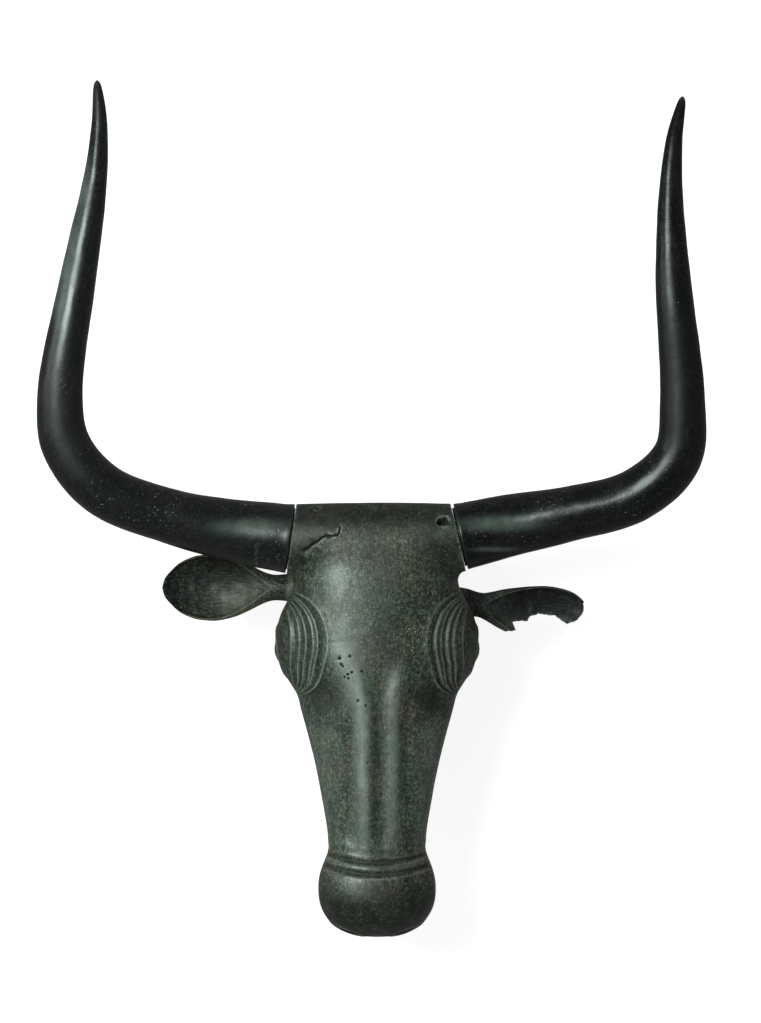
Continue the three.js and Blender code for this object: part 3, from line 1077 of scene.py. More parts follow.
@dataclass(frozen=True, kw_only=True)
class BronzeFinish:
    """One patina of the bronze, with its colours, gloss and texture."""

    name: str
    slot: str
    ground: Triple
    stain: Triple
    bloom: Triple
    dark: Triple
    # The grime colour: patina in hollows, dark marks and pits, and also painted shade.
    grime_and_shade: Triple
    # The worn colour: paler crests, and also painted highlight.
    worn_and_highlight: Triple
    patch: Triple = (0.046, 0.046, 0.037)
    crust: Triple = (0.42, 0.46, 0.42)
    sheen: Triple = (0.93, 1.0, 0.94)
    stain_amount: float
    streak_amount: float
    grain_amount: float
    speckle_amount: float
    grime_amount: float
    worn_amount: float
    pit_scale: float
    pit_amount: float
    filing: float
    metallic: float
    smoothest: float
    roughest: float
    roughest_of_all: float = 0.95
    speckle_roughness: float = 0.25
    hollow_roughness: float = 0.25
    mark_roughness: float = 0.6
    bump_strength: float
    bump_metres: float = 0.0012
    specular: float
    turn: float = 0.0

    def material(self, groups: dict[str, Tree]) -> bpy.types.Material:
        """Make the material.

        Args:
            groups: the shared node groups by name.

        Returns:
            The new material.
        """
        material = bpy.data.materials.new(self.name)
        material.use_nodes = True
        graph = Graph(material.node_tree)
        patina = graph.group(
            groups["patina"], Ground=self.ground, Stain=self.stain, Bloom=self.bloom, Dark=self.dark,
            Crust=self.crust, Stain_Amount=self.stain_amount, Streak_Amount=self.streak_amount,
            Grain_Amount=self.grain_amount, Speckle_Amount=self.speckle_amount, Turn=self.turn,
        )
        pitting = graph.group(groups["pitting"], Scale=self.pit_scale, Amount=self.pit_amount)
        colour = graph.mix(graph.reading(Wear.PATCH), patina["Color"], self.patch)
        wear_and_light = graph.group(
            groups["wear_and_light"], Color=colour, Grime=self.grime_and_shade, Worn=self.worn_and_highlight,
            Grime_Amount=self.grime_amount, Worn_Amount=self.worn_amount,
        )
        skin = graph.group(groups["cast_skin"], Filing=self.filing)
        rough = graph.remap(patina["Blotch"], 0, 1, self.smoothest, self.roughest)
        for reading, share in (
            (patina["Speckle"], self.speckle_roughness), (wear_and_light["Hollow"], self.hollow_roughness),
            (wear_and_light["Mark"], self.mark_roughness),
        ):
            rough = graph.math("ADD", rough, graph.times(reading, share))
        relief = graph.node(
            "Bump", Strength=self.bump_strength, Distance=self.bump_metres,
            Height=graph.math("ADD", skin["Height"], pitting["Height"]),
        )
        shader = material.node_tree.nodes["Principled BSDF"]
        for name, value in {
            "Base Color": graph.mix(pitting["Pits"], wear_and_light["Color"], self.grime_and_shade),
            "Roughness": graph.math("MINIMUM", rough, self.roughest_of_all),
            "Normal": relief.outputs["Normal"], "Metallic": self.metallic,
            "Specular IOR Level": self.specular, "Specular Tint": self.sheen,
        }.items():
            graph.feed(shader.inputs[name], value)
        return material


HEAD_FINISH = BronzeFinish(
    name="head_patina", slot="head_bronze", ground=(0.055, 0.083, 0.053), stain=(0.077, 0.065, 0.035),
    bloom=(0.19, 0.23, 0.16), dark=(0.0035, 0.0055, 0.0035), grime_and_shade=(0.004, 0.0042, 0.003),
    worn_and_highlight=(0.185, 0.23, 0.195), stain_amount=0.85, streak_amount=0.92, grain_amount=0.9,
    speckle_amount=1.0, grime_amount=0.9, worn_amount=0.55, pit_scale=330, pit_amount=0.9, filing=0.12,
    metallic=0.1, smoothest=0.4, roughest=0.49, bump_strength=0.3, specular=0.6,
)
HORN_FINISH = BronzeFinish(
    name="horn_patina", slot="horn_bronze", ground=(0.003, 0.0042, 0.0042), stain=(0.009, 0.008, 0.0055),
    bloom=(0.028, 0.036, 0.03), dark=(0.001, 0.0012, 0.0014), grime_and_shade=(0.002, 0.002, 0.002),
    worn_and_highlight=(0.062, 0.082, 0.068), stain_amount=0.7, streak_amount=0.7, grain_amount=0.8, speckle_amount=0.65,
    grime_amount=0.7, worn_amount=0.35, pit_scale=260, pit_amount=0.5, filing=0.1, metallic=0.0,
    smoothest=0.27, roughest=0.35, bump_strength=0.2, specular=0.5,
)
# The right horn's copy is darker with less gloss: painted shade, as if the key light fell off towards that
# side.
SHADED_HORN_FINISH = replace(
    HORN_FINISH, name="shaded_horn_patina", ground=(0.0015, 0.002, 0.0022), specular=0.3
)
EAR_FINISH = BronzeFinish(
    name="ear_patina", slot="ear_bronze", ground=(0.026, 0.035, 0.027), stain=(0.046, 0.041, 0.02),
    bloom=(0.14, 0.155, 0.105), dark=(0.002, 0.003, 0.003), grime_and_shade=(0.003, 0.003, 0.0025),
    worn_and_highlight=(0.13, 0.145, 0.1), stain_amount=0.8, streak_amount=0.9, grain_amount=1.0,
    speckle_amount=0.9, grime_amount=0.9, worn_amount=0.8, pit_scale=300, pit_amount=0.8, filing=0.3,
    metallic=0.05, smoothest=0.46, roughest=0.6, bump_strength=0.6, specular=0.3, turn=math.pi / 2,
)
# The right ear's copy is darker in its ground and stain: painted shade, as if the key light fell off towards
# that side.
SHADED_EAR_FINISH = replace(
    EAR_FINISH, name="shaded_ear_patina", ground=(0.004, 0.005, 0.0055), stain=(0.008, 0.0075, 0.006),
    bloom=(0.1, 0.11, 0.085), worn_and_highlight=(0.08, 0.088, 0.072), specular=0.25,
)


@dataclass(frozen=True, kw_only=True)
class BronzePiece:
    """One cast piece: a mesh that stands for a CAD node, its readings and its finish."""

    name: str
    node: str
    finish: BronzeFinish
    smoothings: int = 10
    finest_spacing: float = 0.6
    hollow_curvature: Pair = (0.015, 0.15)
    crest_curvature: Pair = (0.06, 0.3)

    def shape(self) -> BMesh:
        """Build the piece's closed mesh in millimetres."""
        raise NotImplementedError

    def readings(self, points: Array) -> dict[Wear, Array]:
        """Return masks of this piece's own, from 0 to 1, by attribute."""
        raise NotImplementedError

    def build(self, groups: dict[str, Tree]) -> None:
        """Make, read, dress and register the piece.

        Args:
            groups: the shared node groups by name.
        """
        bm = self.shape()
        bmesh.ops.recalc_face_normals(bm, faces=bm.faces)
        points = points_of(bm)
        for face in bm.faces:
            face.smooth = True
        mesh = finished_mesh(bm, self.name)
        masks = {kind: np.zeros(len(points)) for kind in Wear}
        masks.update(self._curvature(mesh, points))
        masks.update(self.readings(points))
        for kind, values in masks.items():
            layer = mesh.attributes.new(kind.value, "FLOAT", "POINT")
            layer.data.foreach_set("value", values.astype(np.float32))
        mesh.vertices.foreach_set("co", (points * MM).astype(np.float32).ravel())
        mesh.update()
        mesh.materials.append(self.finish.material(groups))
        piece = add_object(self.name, mesh)
        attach(piece, "root")
        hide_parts(self.node)
        triangles = sum(len(polygon.vertices) - 2 for polygon in mesh.polygons)
        LOG.info("%s: %d triangles", self.name, triangles)

    def _curvature(self, mesh: bpy.types.Mesh, points: Array) -> dict[Wear, Array]:
        """Read where the surface is hollow and where it stands out.

        Args:
            mesh: the mesh, in millimetres.
            points: its points.

        Returns:
            The hollow and crest masks.
        """
        pairs = np.zeros(len(mesh.edges) * 2, dtype=np.int32)
        mesh.edges.foreach_get("vertices", pairs)
        a, b = pairs.reshape(-1, 2).T
        count = np.bincount(a, minlength=len(points)) + np.bincount(b, minlength=len(points))
        count = np.maximum(count, 1)[:, None]
        smooth = points.copy()
        for _ in range(self.smoothings):
            total = np.stack([
                np.bincount(a, smooth[b, axis], len(points)) + np.bincount(b, smooth[a, axis], len(points))
                for axis in range(3)
            ], axis=1)
            smooth = total / count
        normals = np.zeros(len(points) * 3, dtype=np.float32)
        mesh.vertices.foreach_get("normal", normals)
        sunk = np.einsum("ij,ij->i", smooth - points, normals.reshape(-1, 3))
        lengths = np.linalg.norm(points[a] - points[b], axis=1)
        spacing = (np.bincount(a, lengths, len(points)) + np.bincount(b, lengths, len(points))) / count[:, 0]
        curvature = 4 * sunk / (self.smoothings * np.maximum(spacing, self.finest_spacing) ** 2)
        return {
            Wear.HOLLOW: rise(curvature, *self.hollow_curvature),
            Wear.CREST: rise(-curvature, *self.crest_curvature),
        }


@dataclass(frozen=True)
class Pit:
    """A hole or pit in the face, seen from the front."""

    x: float
    y: float
    radius: float
    depth: float
    stretch: float = 1.0

    def away(self, x: Array, y: Array) -> Array:
        """Return how far points are from its middle."""
        return np.hypot(x - self.x, (y - self.y) / self.stretch)


@dataclass(frozen=True, kw_only=True)
class Head(BronzePiece):
    """The head: skull, poll, eyes, muzzle and the flat neck cut."""

    form: SkullForm = SkullForm()
    carving: FaceCarving = FaceCarving()
    grid: SkinGrid = SkinGrid()
    front_z: float = 120
    seat_from: Pair = (22, 90)
    crack: tuple[Pair, ...] = (
        (-79.3, 68.8), (-68.3, 76.9), (-61, 81.4), (-57.8, 84.5), (-52.2, 87), (-47, 86.2),
        (-41.4, 87.2), (-39.8, 89.5), (-38.5, 95.3),
    )
    crack_width: Profile = Profile(((-79, 1.35), (-68, 1.1), (-52, 0.7), (-38, 0.6)))
    crack_depth: float = 2.8
    crack_margin: float = 3.2
    crack_sharpness: float = 4
    crack_stain_and_shade: float = 1.5
    crack_stain_and_shade_sharpness: float = 5
    patch_edge: tuple[Pair, ...] = (
        (-38.5, 95.3), (-41.4, 97.2), (-41.0, 104), (-41.6, 110.3), (-35.9, 112.6), (-35.5, 118),
    )
    patch_step: Fold = Fold(0, 1.1, 0.5)
    patch_seam: Fold = Fold(0, 1.3, 0.45)
    patch_tone: Fade = Fade(66, 72, 0.55)
    patch_crust: Fade = Fade(80, 96, 0.35)
    patch_fade: Pair = (0, 3)
    pits: tuple[Pit, ...] = (
        Pit(69.3, 101.3, 5.3, 9, 0.76), Pit(65.6, 99.5, 2.5, 6, 0.9), Pit(-75.6, 58, 1.5, 2.4, 2.0),
        Pit(-62.5, 115.2, 2.3, 1.3, 0.6), Pit(-70.3, 99.8, 0.9, 1), Pit(-63.5, 107, 0.9, 1),
        Pit(-38.9, -42, 1.5, 1.5), Pit(-28.4, -39.9, 1.3, 1.2), Pit(-37.8, -48.3, 1.3, 1.3),
        Pit(-35.7, -50.4, 1.2, 1.2), Pit(-26.3, -56.7, 1.3, 1.2), Pit(-30.5, -58.8, 1.4, 1.3),
        Pit(-34.1, -62, 1.2, 1.2), Pit(-29.9, -63, 1.3, 1.2), Pit(-15.8, -55.7, 1.3, 1.2),
        Pit(-20, -86.1, 1.2, 1), Pit(-11.6, -91.4, 1.1, 1), Pit(-9.5, -152.3, 1, 0.9),
    )
    pit_margin: Pair = (1.3, 1.5)
    pit_sharpness: float = 7
    pit_stain_and_shade: float = 1.16
    pit_stain_and_shade_sharpness: float = 6
    swells: tuple[Swell, ...] = (Swell(34, 0.12, 5), Swell(11, 0.048, 6))
    raggedness: Swell = Swell(3.4, 0.13, 8)
    calm_z: Pair = (0.5, 12)
    calm_seat: Pair = (0.2, 4)
    crusts: tuple[Zone, ...] = (Zone(43, -12, 29.7, 27, 0.9), Zone(34, 108, 13, 13, 0.6))
    # Painted shade on the poll, the right of the poll, the lids, the sides below the face, the brow hollows
    # and beside the left seat.
    poll_painted_shade: Fade = Fade(76, 104, 0.95)
    right_poll_painted_shade: tuple[Fade, Fade] = (Fade(20, 60, 0.85), Fade(30, 75))
    lid_painted_shade: Fade = Fade(82, 92, 0.5)
    lid_fold: Fold = Fold(-30, 48, 1)
    lid_squareness: float = 4
    # A darker stripe down the middle of the forehead, and painted shade in the groove of the nose.
    dark_stripes: tuple[Stripe, ...] = (
        Stripe(9, 20, 0.45, (-70, -30), (60, 95)), Stripe(2.4, 6, 0.45, (-400, -390), (-95, -60)),
    )
    # The muzzle darkens towards its end.
    dark_muzzle: Fade = Fade(-264, -302, 0.95)
    side_painted_shade: Fade = Fade(125, 95, 0.3)
    brow_hollow_shade: Zone = Zone(55, -84, 18.7, 17, 1, 3)
    seat_shadow: Zone = Zone(-81, 60, 9, 11.7, 0.8, 3)
    # Painted highlight on the right ridge of the nose, on the cheeks and in a sheen band down the face.
    ridge_highlight: Stripe = Stripe(17, 7, 0.6, (-262, -215), (-75, -35))
    cheek_highlight: Fade = Fade(30, 52, 0.24)
    cheek_highlight_run: tuple[Pair, Pair] = ((-262, -235), (-130, -90))
    highlight_band_x: Profile = Profile((
        (-262, -14), (-150, -15), (-110, -16), (-75, -22), (-45, -30), (-20, -35), (70, -40),
    ))
    highlight_band_width: Profile = Profile(((-262, 8), (-110, 8.5), (-75, 11), (-45, 15), (-20, 18), (70, 22)))
    highlight_band_strength: Profile = Profile((
        (-262, 0), (-215, 0.6), (-110, 1), (-75, 0.95), (-45, 0.7), (0, 0.15), (60, 0),
    ))

    def surface(self, p: Array) -> Array:
        """Return how far points are outside the carved head."""
        return self.form.distance(p) - self.carving.height(p)

    def shape(self) -> BMesh:
        """Cast the rays, close the skin, cut it flat, then press in the damage.

        Returns:
            The head's mesh.
        """
        starts, ways, rings, columns = self.grid.rays()
        mesh = bpy.data.meshes.new("skin")
        mesh.from_pydata(self._cast(starts, ways), [], grid_faces(rings, columns))
        bm = bmesh.new()
        bm.from_mesh(mesh)
        bpy.data.meshes.remove(mesh)
        self._cut(bm)
        self._refine(bm, self._carved, self.grid.carved_cuts)
        self._settle(bm)
        self._refine(bm, self._damaged, self.grid.damaged_cuts)
        self._press(bm)
        return bm

    def _meet(self, starts: Array, ways: Array, low: Array, high: Array, rounds: int) -> Array:
        """Find where rays come out of the carved head.

        Args:
            starts: where the rays start.
            ways: their directions.
            low: distances along them that are inside.
            high: distances along them that are outside.
            rounds: how often the gap is halved.

        Returns:
            Points on the skin.
        """
        reach = close_in(lambda far: self.surface(starts + ways * far[:, None]) > 0, low, high, rounds)
        return starts + ways * reach[:, None]

    def _cast(self, starts: Array, ways: Array) -> Array:
        """Find the outermost point of the head along each ray.

        Args:
            starts: where the rays start, inside the head.
            ways: their directions.

        Returns:
            Points on the skin.
        """
        stride = self.grid.stride
        reach = np.full(len(starts), self.grid.reach)
        active = np.arange(len(starts))
        while len(active):
            inner = reach[active] - stride
            outside = self.form.distance(starts[active] + ways[active] * inner[:, None]) > 0
            active = active[outside & (inner > stride)]
            reach[active] -= stride
        return self._meet(starts, ways, reach - 2 * stride, reach + stride, self.grid.cast_rounds)

    def _by_seat(self, x: Array, y: Array, z: Array, seam: Seam) -> Array:
        """Return whether places lie round the seat of one horn."""
        return (y > self.seat_from[0]) & (z > self.seat_from[1]) & (x * seam.x > 0)

    def _cut(self, bm: BMesh) -> None:
        """Cut the neck flat and square the head off at each horn.

        Args:
            bm: the head's mesh.
        """
        slice_off(bm, bm.verts[:] + bm.edges[:] + bm.faces[:], (0, 0, 0), (0, 0, -1))
        for seam in SEAMS:
            faces = [
                face for face in bm.faces
                if len(face.verts) < 5 and self._by_seat(*face.calc_center_median(), seam)
            ]
            edges = {edge for face in faces for edge in face.edges}
            verts = {vert for face in faces for vert in face.verts}
            slice_off(bm, [*verts, *edges, *faces], (seam.x, seam.y, self.form.seat_z), seam.normal())

    def _carved(self, p: Array) -> Array:
        """Tell which points lie in the brow folds and the creases of the muzzle.

        Args:
            p: the points.

        Returns:
            True where the carving is fine.
        """
        x, y, z = p.T
        brows, creases = (
            (y > low) & (y < high) & (z > lowest_z)
            for (low, high), lowest_z in (
                (self.grid.fine_brow_y, self.grid.fine_brow_z),
                (self.grid.fine_crease_y, self.grid.fine_crease_z),
            )
        )
        return brows & (np.abs(x) > self.grid.fine_brow_x) | creases

    def _damaged(self, p: Array) -> Array:
        """Tell which points lie near the crack and the pits.

        Args:
            p: the points.

        Returns:
            True near them.
        """
        x, y, z = p.T
        near = distance_to_line(x, y, self.crack) < self.crack_margin
        for pit in self.pits:
            whole = replace(pit, stretch=max(pit.stretch, 1))
            near |= whole.away(x, y) < pit.radius * self.pit_margin[0] + self.pit_margin[1]
        return near & (z > self.front_z)

    def _refine(self, bm: BMesh, wanted: Callable[[Array], Array], cuts: int) -> None:
        """Give the mesh finer faces in one zone.

        Args:
            bm: the head's mesh.
            wanted: tells which points lie in the zone.
            cuts: how many cuts each edge gets.
        """
        chosen = wanted(points_of(bm))
        bm.verts.index_update()
        edges = [
            edge for edge in bm.edges
            if chosen[edge.verts[0].index] and chosen[edge.verts[1].index] and edge.smooth
        ]
        bmesh.ops.subdivide_edges(bm, edges=edges, cuts=cuts, use_grid_fill=True)

    def _settle(self, bm: BMesh) -> None:
        """Move the points between the two fans onto the exact surface.

        Args:
            bm: the head's mesh.
        """
        points = points_of(bm)
        x, y, z = points.T
        between = (y < self.grid.back_y) & (y > self.grid.front_y)
        moved = np.flatnonzero(between & (z > self.grid.settle_above))
        core = self.grid.core(y[moved])
        ways = points[moved] - core
        reach = np.linalg.norm(ways, axis=1)
        ways /= reach[:, None]
        spare = self.grid.settle_reach
        points[moved] = self._meet(core, ways, reach - spare, reach + spare, self.grid.settle_rounds)
        move_points(bm, points)

    def _press(self, bm: BMesh) -> None:
        """Press the crack, the pits and the unevenness of the casting into the skin.

        Args:
            bm: the head's mesh.
        """
        bm.normal_update()
        points = points_of(bm)
        normals = np.array([vert.normal for vert in bm.verts], dtype=float)
        x, y, z = points.T
        free = rise(z, *self.calm_z)
        for seam in SEAMS:
            inside = rise(-seam.beyond(x, y), *self.calm_seat)
            free = free * np.where(self._by_seat(x, y, z, seam), inside, 1)
        depth = sum(swell.heights(points) for swell in self.swells)
        ragged = 1 + self.raggedness.heights(points)
        front = z > self.front_z
        off_crack = distance_to_line(x, y, self.crack)
        crack = bump(off_crack, self.crack_width(x) * ragged, self.crack_sharpness)
        step = self.patch_step.relief(distance_to_line(x, y, self.patch_edge))
        depth = depth + front * (self.crack_depth * crack + step)
        for pit in self.pits:
            hole = bump(pit.away(x, y) * ragged, pit.radius, self.pit_sharpness)
            depth = np.maximum(depth, front * pit.depth * hole)
        move_points(bm, points - normals * (depth * free)[:, None])

    def readings(self, points: Array) -> dict[Wear, Array]:
        """Mark the crack and the pits dark, the repair its own tone, and the large areas of painted shade
        and painted highlight.

        Args:
            points: the mesh's points in millimetres.

        Returns:
            The mark, patch, crust, pale and shade masks.
        """
        x, y, z = points.T
        off_crack = distance_to_line(x, y, self.crack)
        # The crack, the hole and the pits are darkened round their openings, partly as their own dirt and
        # partly as painted shade of their depth.
        mark = bump(off_crack, self.crack_width(x) * self.crack_stain_and_shade, self.crack_stain_and_shade_sharpness)
        mark = np.maximum(mark, self.patch_seam.relief(distance_to_line(x, y, self.patch_edge)))
        for pit in self.pits:
            stain = bump(pit.away(x, y), pit.radius * self.pit_stain_and_shade, self.pit_stain_and_shade_sharpness)
            mark = np.maximum(mark, stain)
        edge_x, edge_y = zip(*self.crack[:-1], *self.patch_edge)
        patch = rise(np.interp(y, edge_y, edge_x) - x, *self.patch_fade)
        crust = sum(zone.mask(x, y) for zone in self.crusts)
        crust = np.maximum(crust, patch * self.patch_crust.mask(y))
        front = z > self.front_z
        return {
            Wear.MARK: mark * front, Wear.PATCH: patch * self.patch_tone.mask(y) * front,
            Wear.CRUST: crust * front, Wear.PAINTED_HIGHLIGHT_AND_PALE_TONE: self._painted_highlight(x, y) * front,
            Wear.PAINTED_SHADE_AND_DARK_TONE: self._painted_shade(x, y, z),
        }

    def _painted_shade(self, x: Array, y: Array, z: Array) -> Array:
        """Mark the painted shade and the darker tones of the head.

        Args:
            x: across the head.
            y: along the head.
            z: out of the face.

        Returns:
            The mask.
        """
        aside = np.abs(x)
        across_poll, along_poll = self.right_poll_painted_shade
        return np.maximum.reduce((
            self.poll_painted_shade.mask(y), across_poll.mask(x) * along_poll.mask(y),
            self.lid_painted_shade.mask(aside) * self.lid_fold.relief(y, self.lid_squareness),
            self.dark_muzzle.mask(y), self.side_painted_shade.mask(z),
            self.brow_hollow_shade.mask(aside, y), self.seat_shadow.mask(x, y),
            *(stripe.mask(x, y) for stripe in self.dark_stripes),
        ))

    def _painted_highlight(self, x: Array, y: Array) -> Array:
        """Mark the painted highlight: a sheen band down the face, the right ridge of the nose and the
        cheeks.

        Args:
            x: across the head.
            y: along the head.

        Returns:
            The mask.
        """
        band = self.highlight_band_strength(y) * bump(x - self.highlight_band_x(y), self.highlight_band_width(y))
        cheeks = self.cheek_highlight.mask(np.abs(x)) * along(y, *self.cheek_highlight_run)
        return np.maximum.reduce((band, self.ridge_highlight.mask(x, y), cheeks))


@dataclass(frozen=True)
class Centreline:
    """A smooth centreline through points, read by share of its length."""

    points: tuple[Triple, ...]
    steps: int = 120

    def sample(self, shares: Array) -> tuple[Array, Array]:
        """Read places and directions along the line.

        Args:
            shares: where to read, from 0 to 1.

        Returns:
            Places and unit directions.
        """
        corners = np.array(self.points, dtype=float)
        ends = np.vstack((2 * corners[0] - corners[1], corners, 2 * corners[-1] - corners[-2]))
        t = np.linspace(0, 1, self.steps, endpoint=False)[:, None]
        fine = []
        for p0, p1, p2, p3 in zip(ends, ends[1:], ends[2:], ends[3:]):
            d0, d1, d2 = (math.sqrt(np.linalg.norm(q - p)) for p, q in ((p0, p1), (p1, p2), (p2, p3)))
            lead = ((p1 - p0) / d0 - (p2 - p0) / (d0 + d1) + (p2 - p1) / d1) * d1
            trail = ((p2 - p1) / d1 - (p3 - p1) / (d1 + d2) + (p3 - p2) / d2) * d1
            square = -3 * p1 + 3 * p2 - 2 * lead - trail
            cube = 2 * p1 - 2 * p2 + lead + trail
            fine.append(p1 + lead * t + square * t**2 + cube * t**3)
        line = np.vstack(fine + [corners[-1:]])
        run = np.concatenate(([0.0], np.cumsum(np.linalg.norm(np.diff(line, axis=0), axis=1))))
        slope = np.gradient(line, run, axis=0)
        slope /= np.linalg.norm(slope, axis=1)[:, None]
        at = shares * run[-1]
        places, ways = (
            np.stack([np.interp(at, run, values[:, axis]) for axis in range(3)], axis=1)
            for values in (line, slope)
        )
        return places, ways / np.linalg.norm(ways, axis=1)[:, None]


@dataclass(frozen=True, kw_only=True)
class Horn(BronzePiece):
    """A horn: a spigot in the seam, a shadow groove and a long sweep to the tip."""

    seam: Seam
    path: tuple[Triple, ...]
    crusts: tuple[Zone, ...]
    cracks: tuple[Triple, ...]
    # Zones where the horn catches the key light, laid on as painted highlight.
    painted_highlights: tuple[Zone, ...]
    # Dull zones are rougher and darkened towards the grime colour: painted shade that dims the highlight.
    dulls: tuple[Zone, ...]
    swells: tuple[Swell, ...]
    thickness: Profile = Profile((
        (0, 71), (0.05, 69), (0.12, 64.2), (0.2, 58.4), (0.34, 56.2), (0.47, 49.6),
        (0.6, 43.4), (0.73, 35.6), (0.86, 24.4), (0.95, 15.6), (0.976, 12), (0.99, 9.2), (0.997, 6.4),
        (1, 3.4),
    ))
    lead: float = 58
    first_share: float = 0.008
    tip_share: float = 0.9985
    crowding: float = 1.06
    rings: int = 300
    sides: int = 88
    spigot_inset: float = 4
    root_end: float = 0.1
    first_gap: float = 1.0
    lip: float = 0.1
    chamfer: float = 0.8
    chamfer_step: float = 1
    chamfer_middle: Pair = (0.3, 0.25)
    straight_run: Pair = (2, 3)
    calm_root: Pair = (1.5, 14)
    calm_tip: Pair = (1.5, 12)
    tip_rounding: float = 0.6
    crack_end: float = 2
    crack_half_width: float = 0.8
    crack_sharpness: float = 4
    crack_wander: tuple[Pair, ...] = ((0.6, 0.9), (0.5, 2.3))
    # The crack's lip carries a thin painted highlight beside the dark line.
    crack_lip_shift: float = 1.7
    crack_lip_highlight: float = 0.8
    trim: float = 0.35
    skin_gap: float = 0.1
    front_z: float = 140

    def shape(self) -> BMesh:
        """Sweep the horn's rings and close both ends.

        Returns:
            The horn's mesh.
        """
        normal = self.seam.normal()
        start = np.array((self.seam.x, self.seam.y, SkullForm.seat_z))
        corners = (tuple(start), tuple(start + normal * self.lead)) + self.path
        crowd = np.linspace(0, 1, self.rings) ** self.crowding
        shares = self.first_share + (self.tip_share - self.first_share) * crowd
        places, ways = Centreline(corners).sample(shares)
        extra = self.seam.thickness - float(self.thickness(0.0))
        radii = self.thickness(shares / self.tip_share) + extra * (1 - rise(shares, 0, self.root_end))
        radii /= 2
        collar = self._collar()
        centres = [start + normal * distance for distance, _ in collar]
        beyond = (places - centres[-1]) @ normal > self.first_gap
        places = np.vstack((centres, places[beyond]))
        ways = np.vstack((np.repeat(normal[None, :], len(collar), axis=0), ways[beyond]))
        radii = np.concatenate(([radius for _, radius in collar], radii[beyond]))
        skin = self._sweep(places, ways, radii)
        points = np.vstack((skin, places[0], places[-1] + ways[-1] * radii[-1] * self.tip_rounding))
        return ringed_skin(points, len(places), self.sides)

    def _collar(self) -> tuple[Pair, ...]:
        """Lay out the spigot, the groove and the chamfered root.

        Returns:
            Distances from the seam with their radii.
        """
        root = self.seam.thickness / 2
        spigot = root - self.spigot_inset
        groove = self.seam.groove
        edge = groove + self.lip
        return (
            (CLEARANCE, spigot), ((CLEARANCE + groove) / 2, spigot), (groove, spigot),
            (groove + self.lip / 2, root - self.chamfer - self.chamfer_step), (edge, root - self.chamfer),
            (edge + self.chamfer_middle[0], root - self.chamfer_middle[1]), (edge + self.chamfer, root),
            *((groove + run, root) for run in self.straight_run),
        )

    def _sweep(self, places: Array, ways: Array, radii: Array) -> Array:
        """Lay the rings along the centreline, slightly uneven as cast.

        Args:
            places: the rings' centres.
            ways: the directions through them.
            radii: their radii.

        Returns:
            The skin's points, ring by ring.
        """
        sides = np.cross((0, 0, 1), ways)
        sides /= np.linalg.norm(sides, axis=1)[:, None]
        fronts = np.cross(sides, ways)
        turn = np.linspace(0, 2 * math.pi, self.sides, endpoint=False)
        spokes = sides[:, None] * np.cos(turn)[:, None] + fronts[:, None] * np.sin(turn)[:, None]
        flat = (places[:, None] + spokes * radii[:, None, None]).reshape(-1, 3)
        lumps = sum(swell.heights(flat) for swell in self.swells)
        calm = rise(self.seam.beyond(flat[:, 0], flat[:, 1]), self.seam.groove + self.calm_root[0],
                    self.calm_root[1]) * rise(np.repeat(radii, self.sides), *self.calm_tip)
        return flat + spokes.reshape(-1, 3) * ((lumps - self.trim) * calm - self.skin_gap)[:, None]

    def readings(self, points: Array) -> dict[Wear, Array]:
        """Mark the cracks and the dull zones dark, paint highlights on the cracks' lips and over the glossy
        zones, and mark where specks gather.

        Args:
            points: the mesh's points in millimetres.

        Returns:
            The mark, crust and pale masks.
        """
        x, y, z = points.T
        wander = sum(width * np.sin(y * pitch) for width, pitch in self.crack_wander)
        # Dull zones darken as painted shade; the highlight zones are painted highlight.
        mark = sum(zone.mask(x, y) for zone in self.dulls)
        pale = sum(zone.mask(x, y) for zone in self.painted_highlights)
        for across, low, high in self.cracks:
            run = along(y, (low, low + self.crack_end), (high - self.crack_end, high))
            off = x - across - wander
            mark += bump(off, self.crack_half_width, self.crack_sharpness) * run
            # A thin painted highlight on each crack's lip.
            pale += self.crack_lip_highlight * bump(off + self.crack_lip_shift, self.crack_half_width) * run
        front = z > self.front_z
        return {
            Wear.MARK: np.clip(mark, 0, 1) * front, Wear.PAINTED_HIGHLIGHT_AND_PALE_TONE: np.clip(pale, 0, 1) * front,
            Wear.CRUST: np.clip(sum(zone.mask(x, y) for zone in self.crusts), 0, 1),
        }


@dataclass(frozen=True)
class Ripple:
    """Waves over an ear: their height, and their pitch along it and across it."""

    height: float
    along: float
    across: float

    def read(self, share: Array, across: Array, shift: Array | float = 0.0) -> Array:
        """Return the waves' heights, shifted by a phase."""
        return self.height * np.sin(share * self.along + across * self.across + shift)


@dataclass(frozen=True)
class EarPlace:
    """Where an ear sits on the head, how long it is and how wide along its length."""

    x: float
    y: float
    z: float
    tilt: float
    length: float
    half_width: Profile


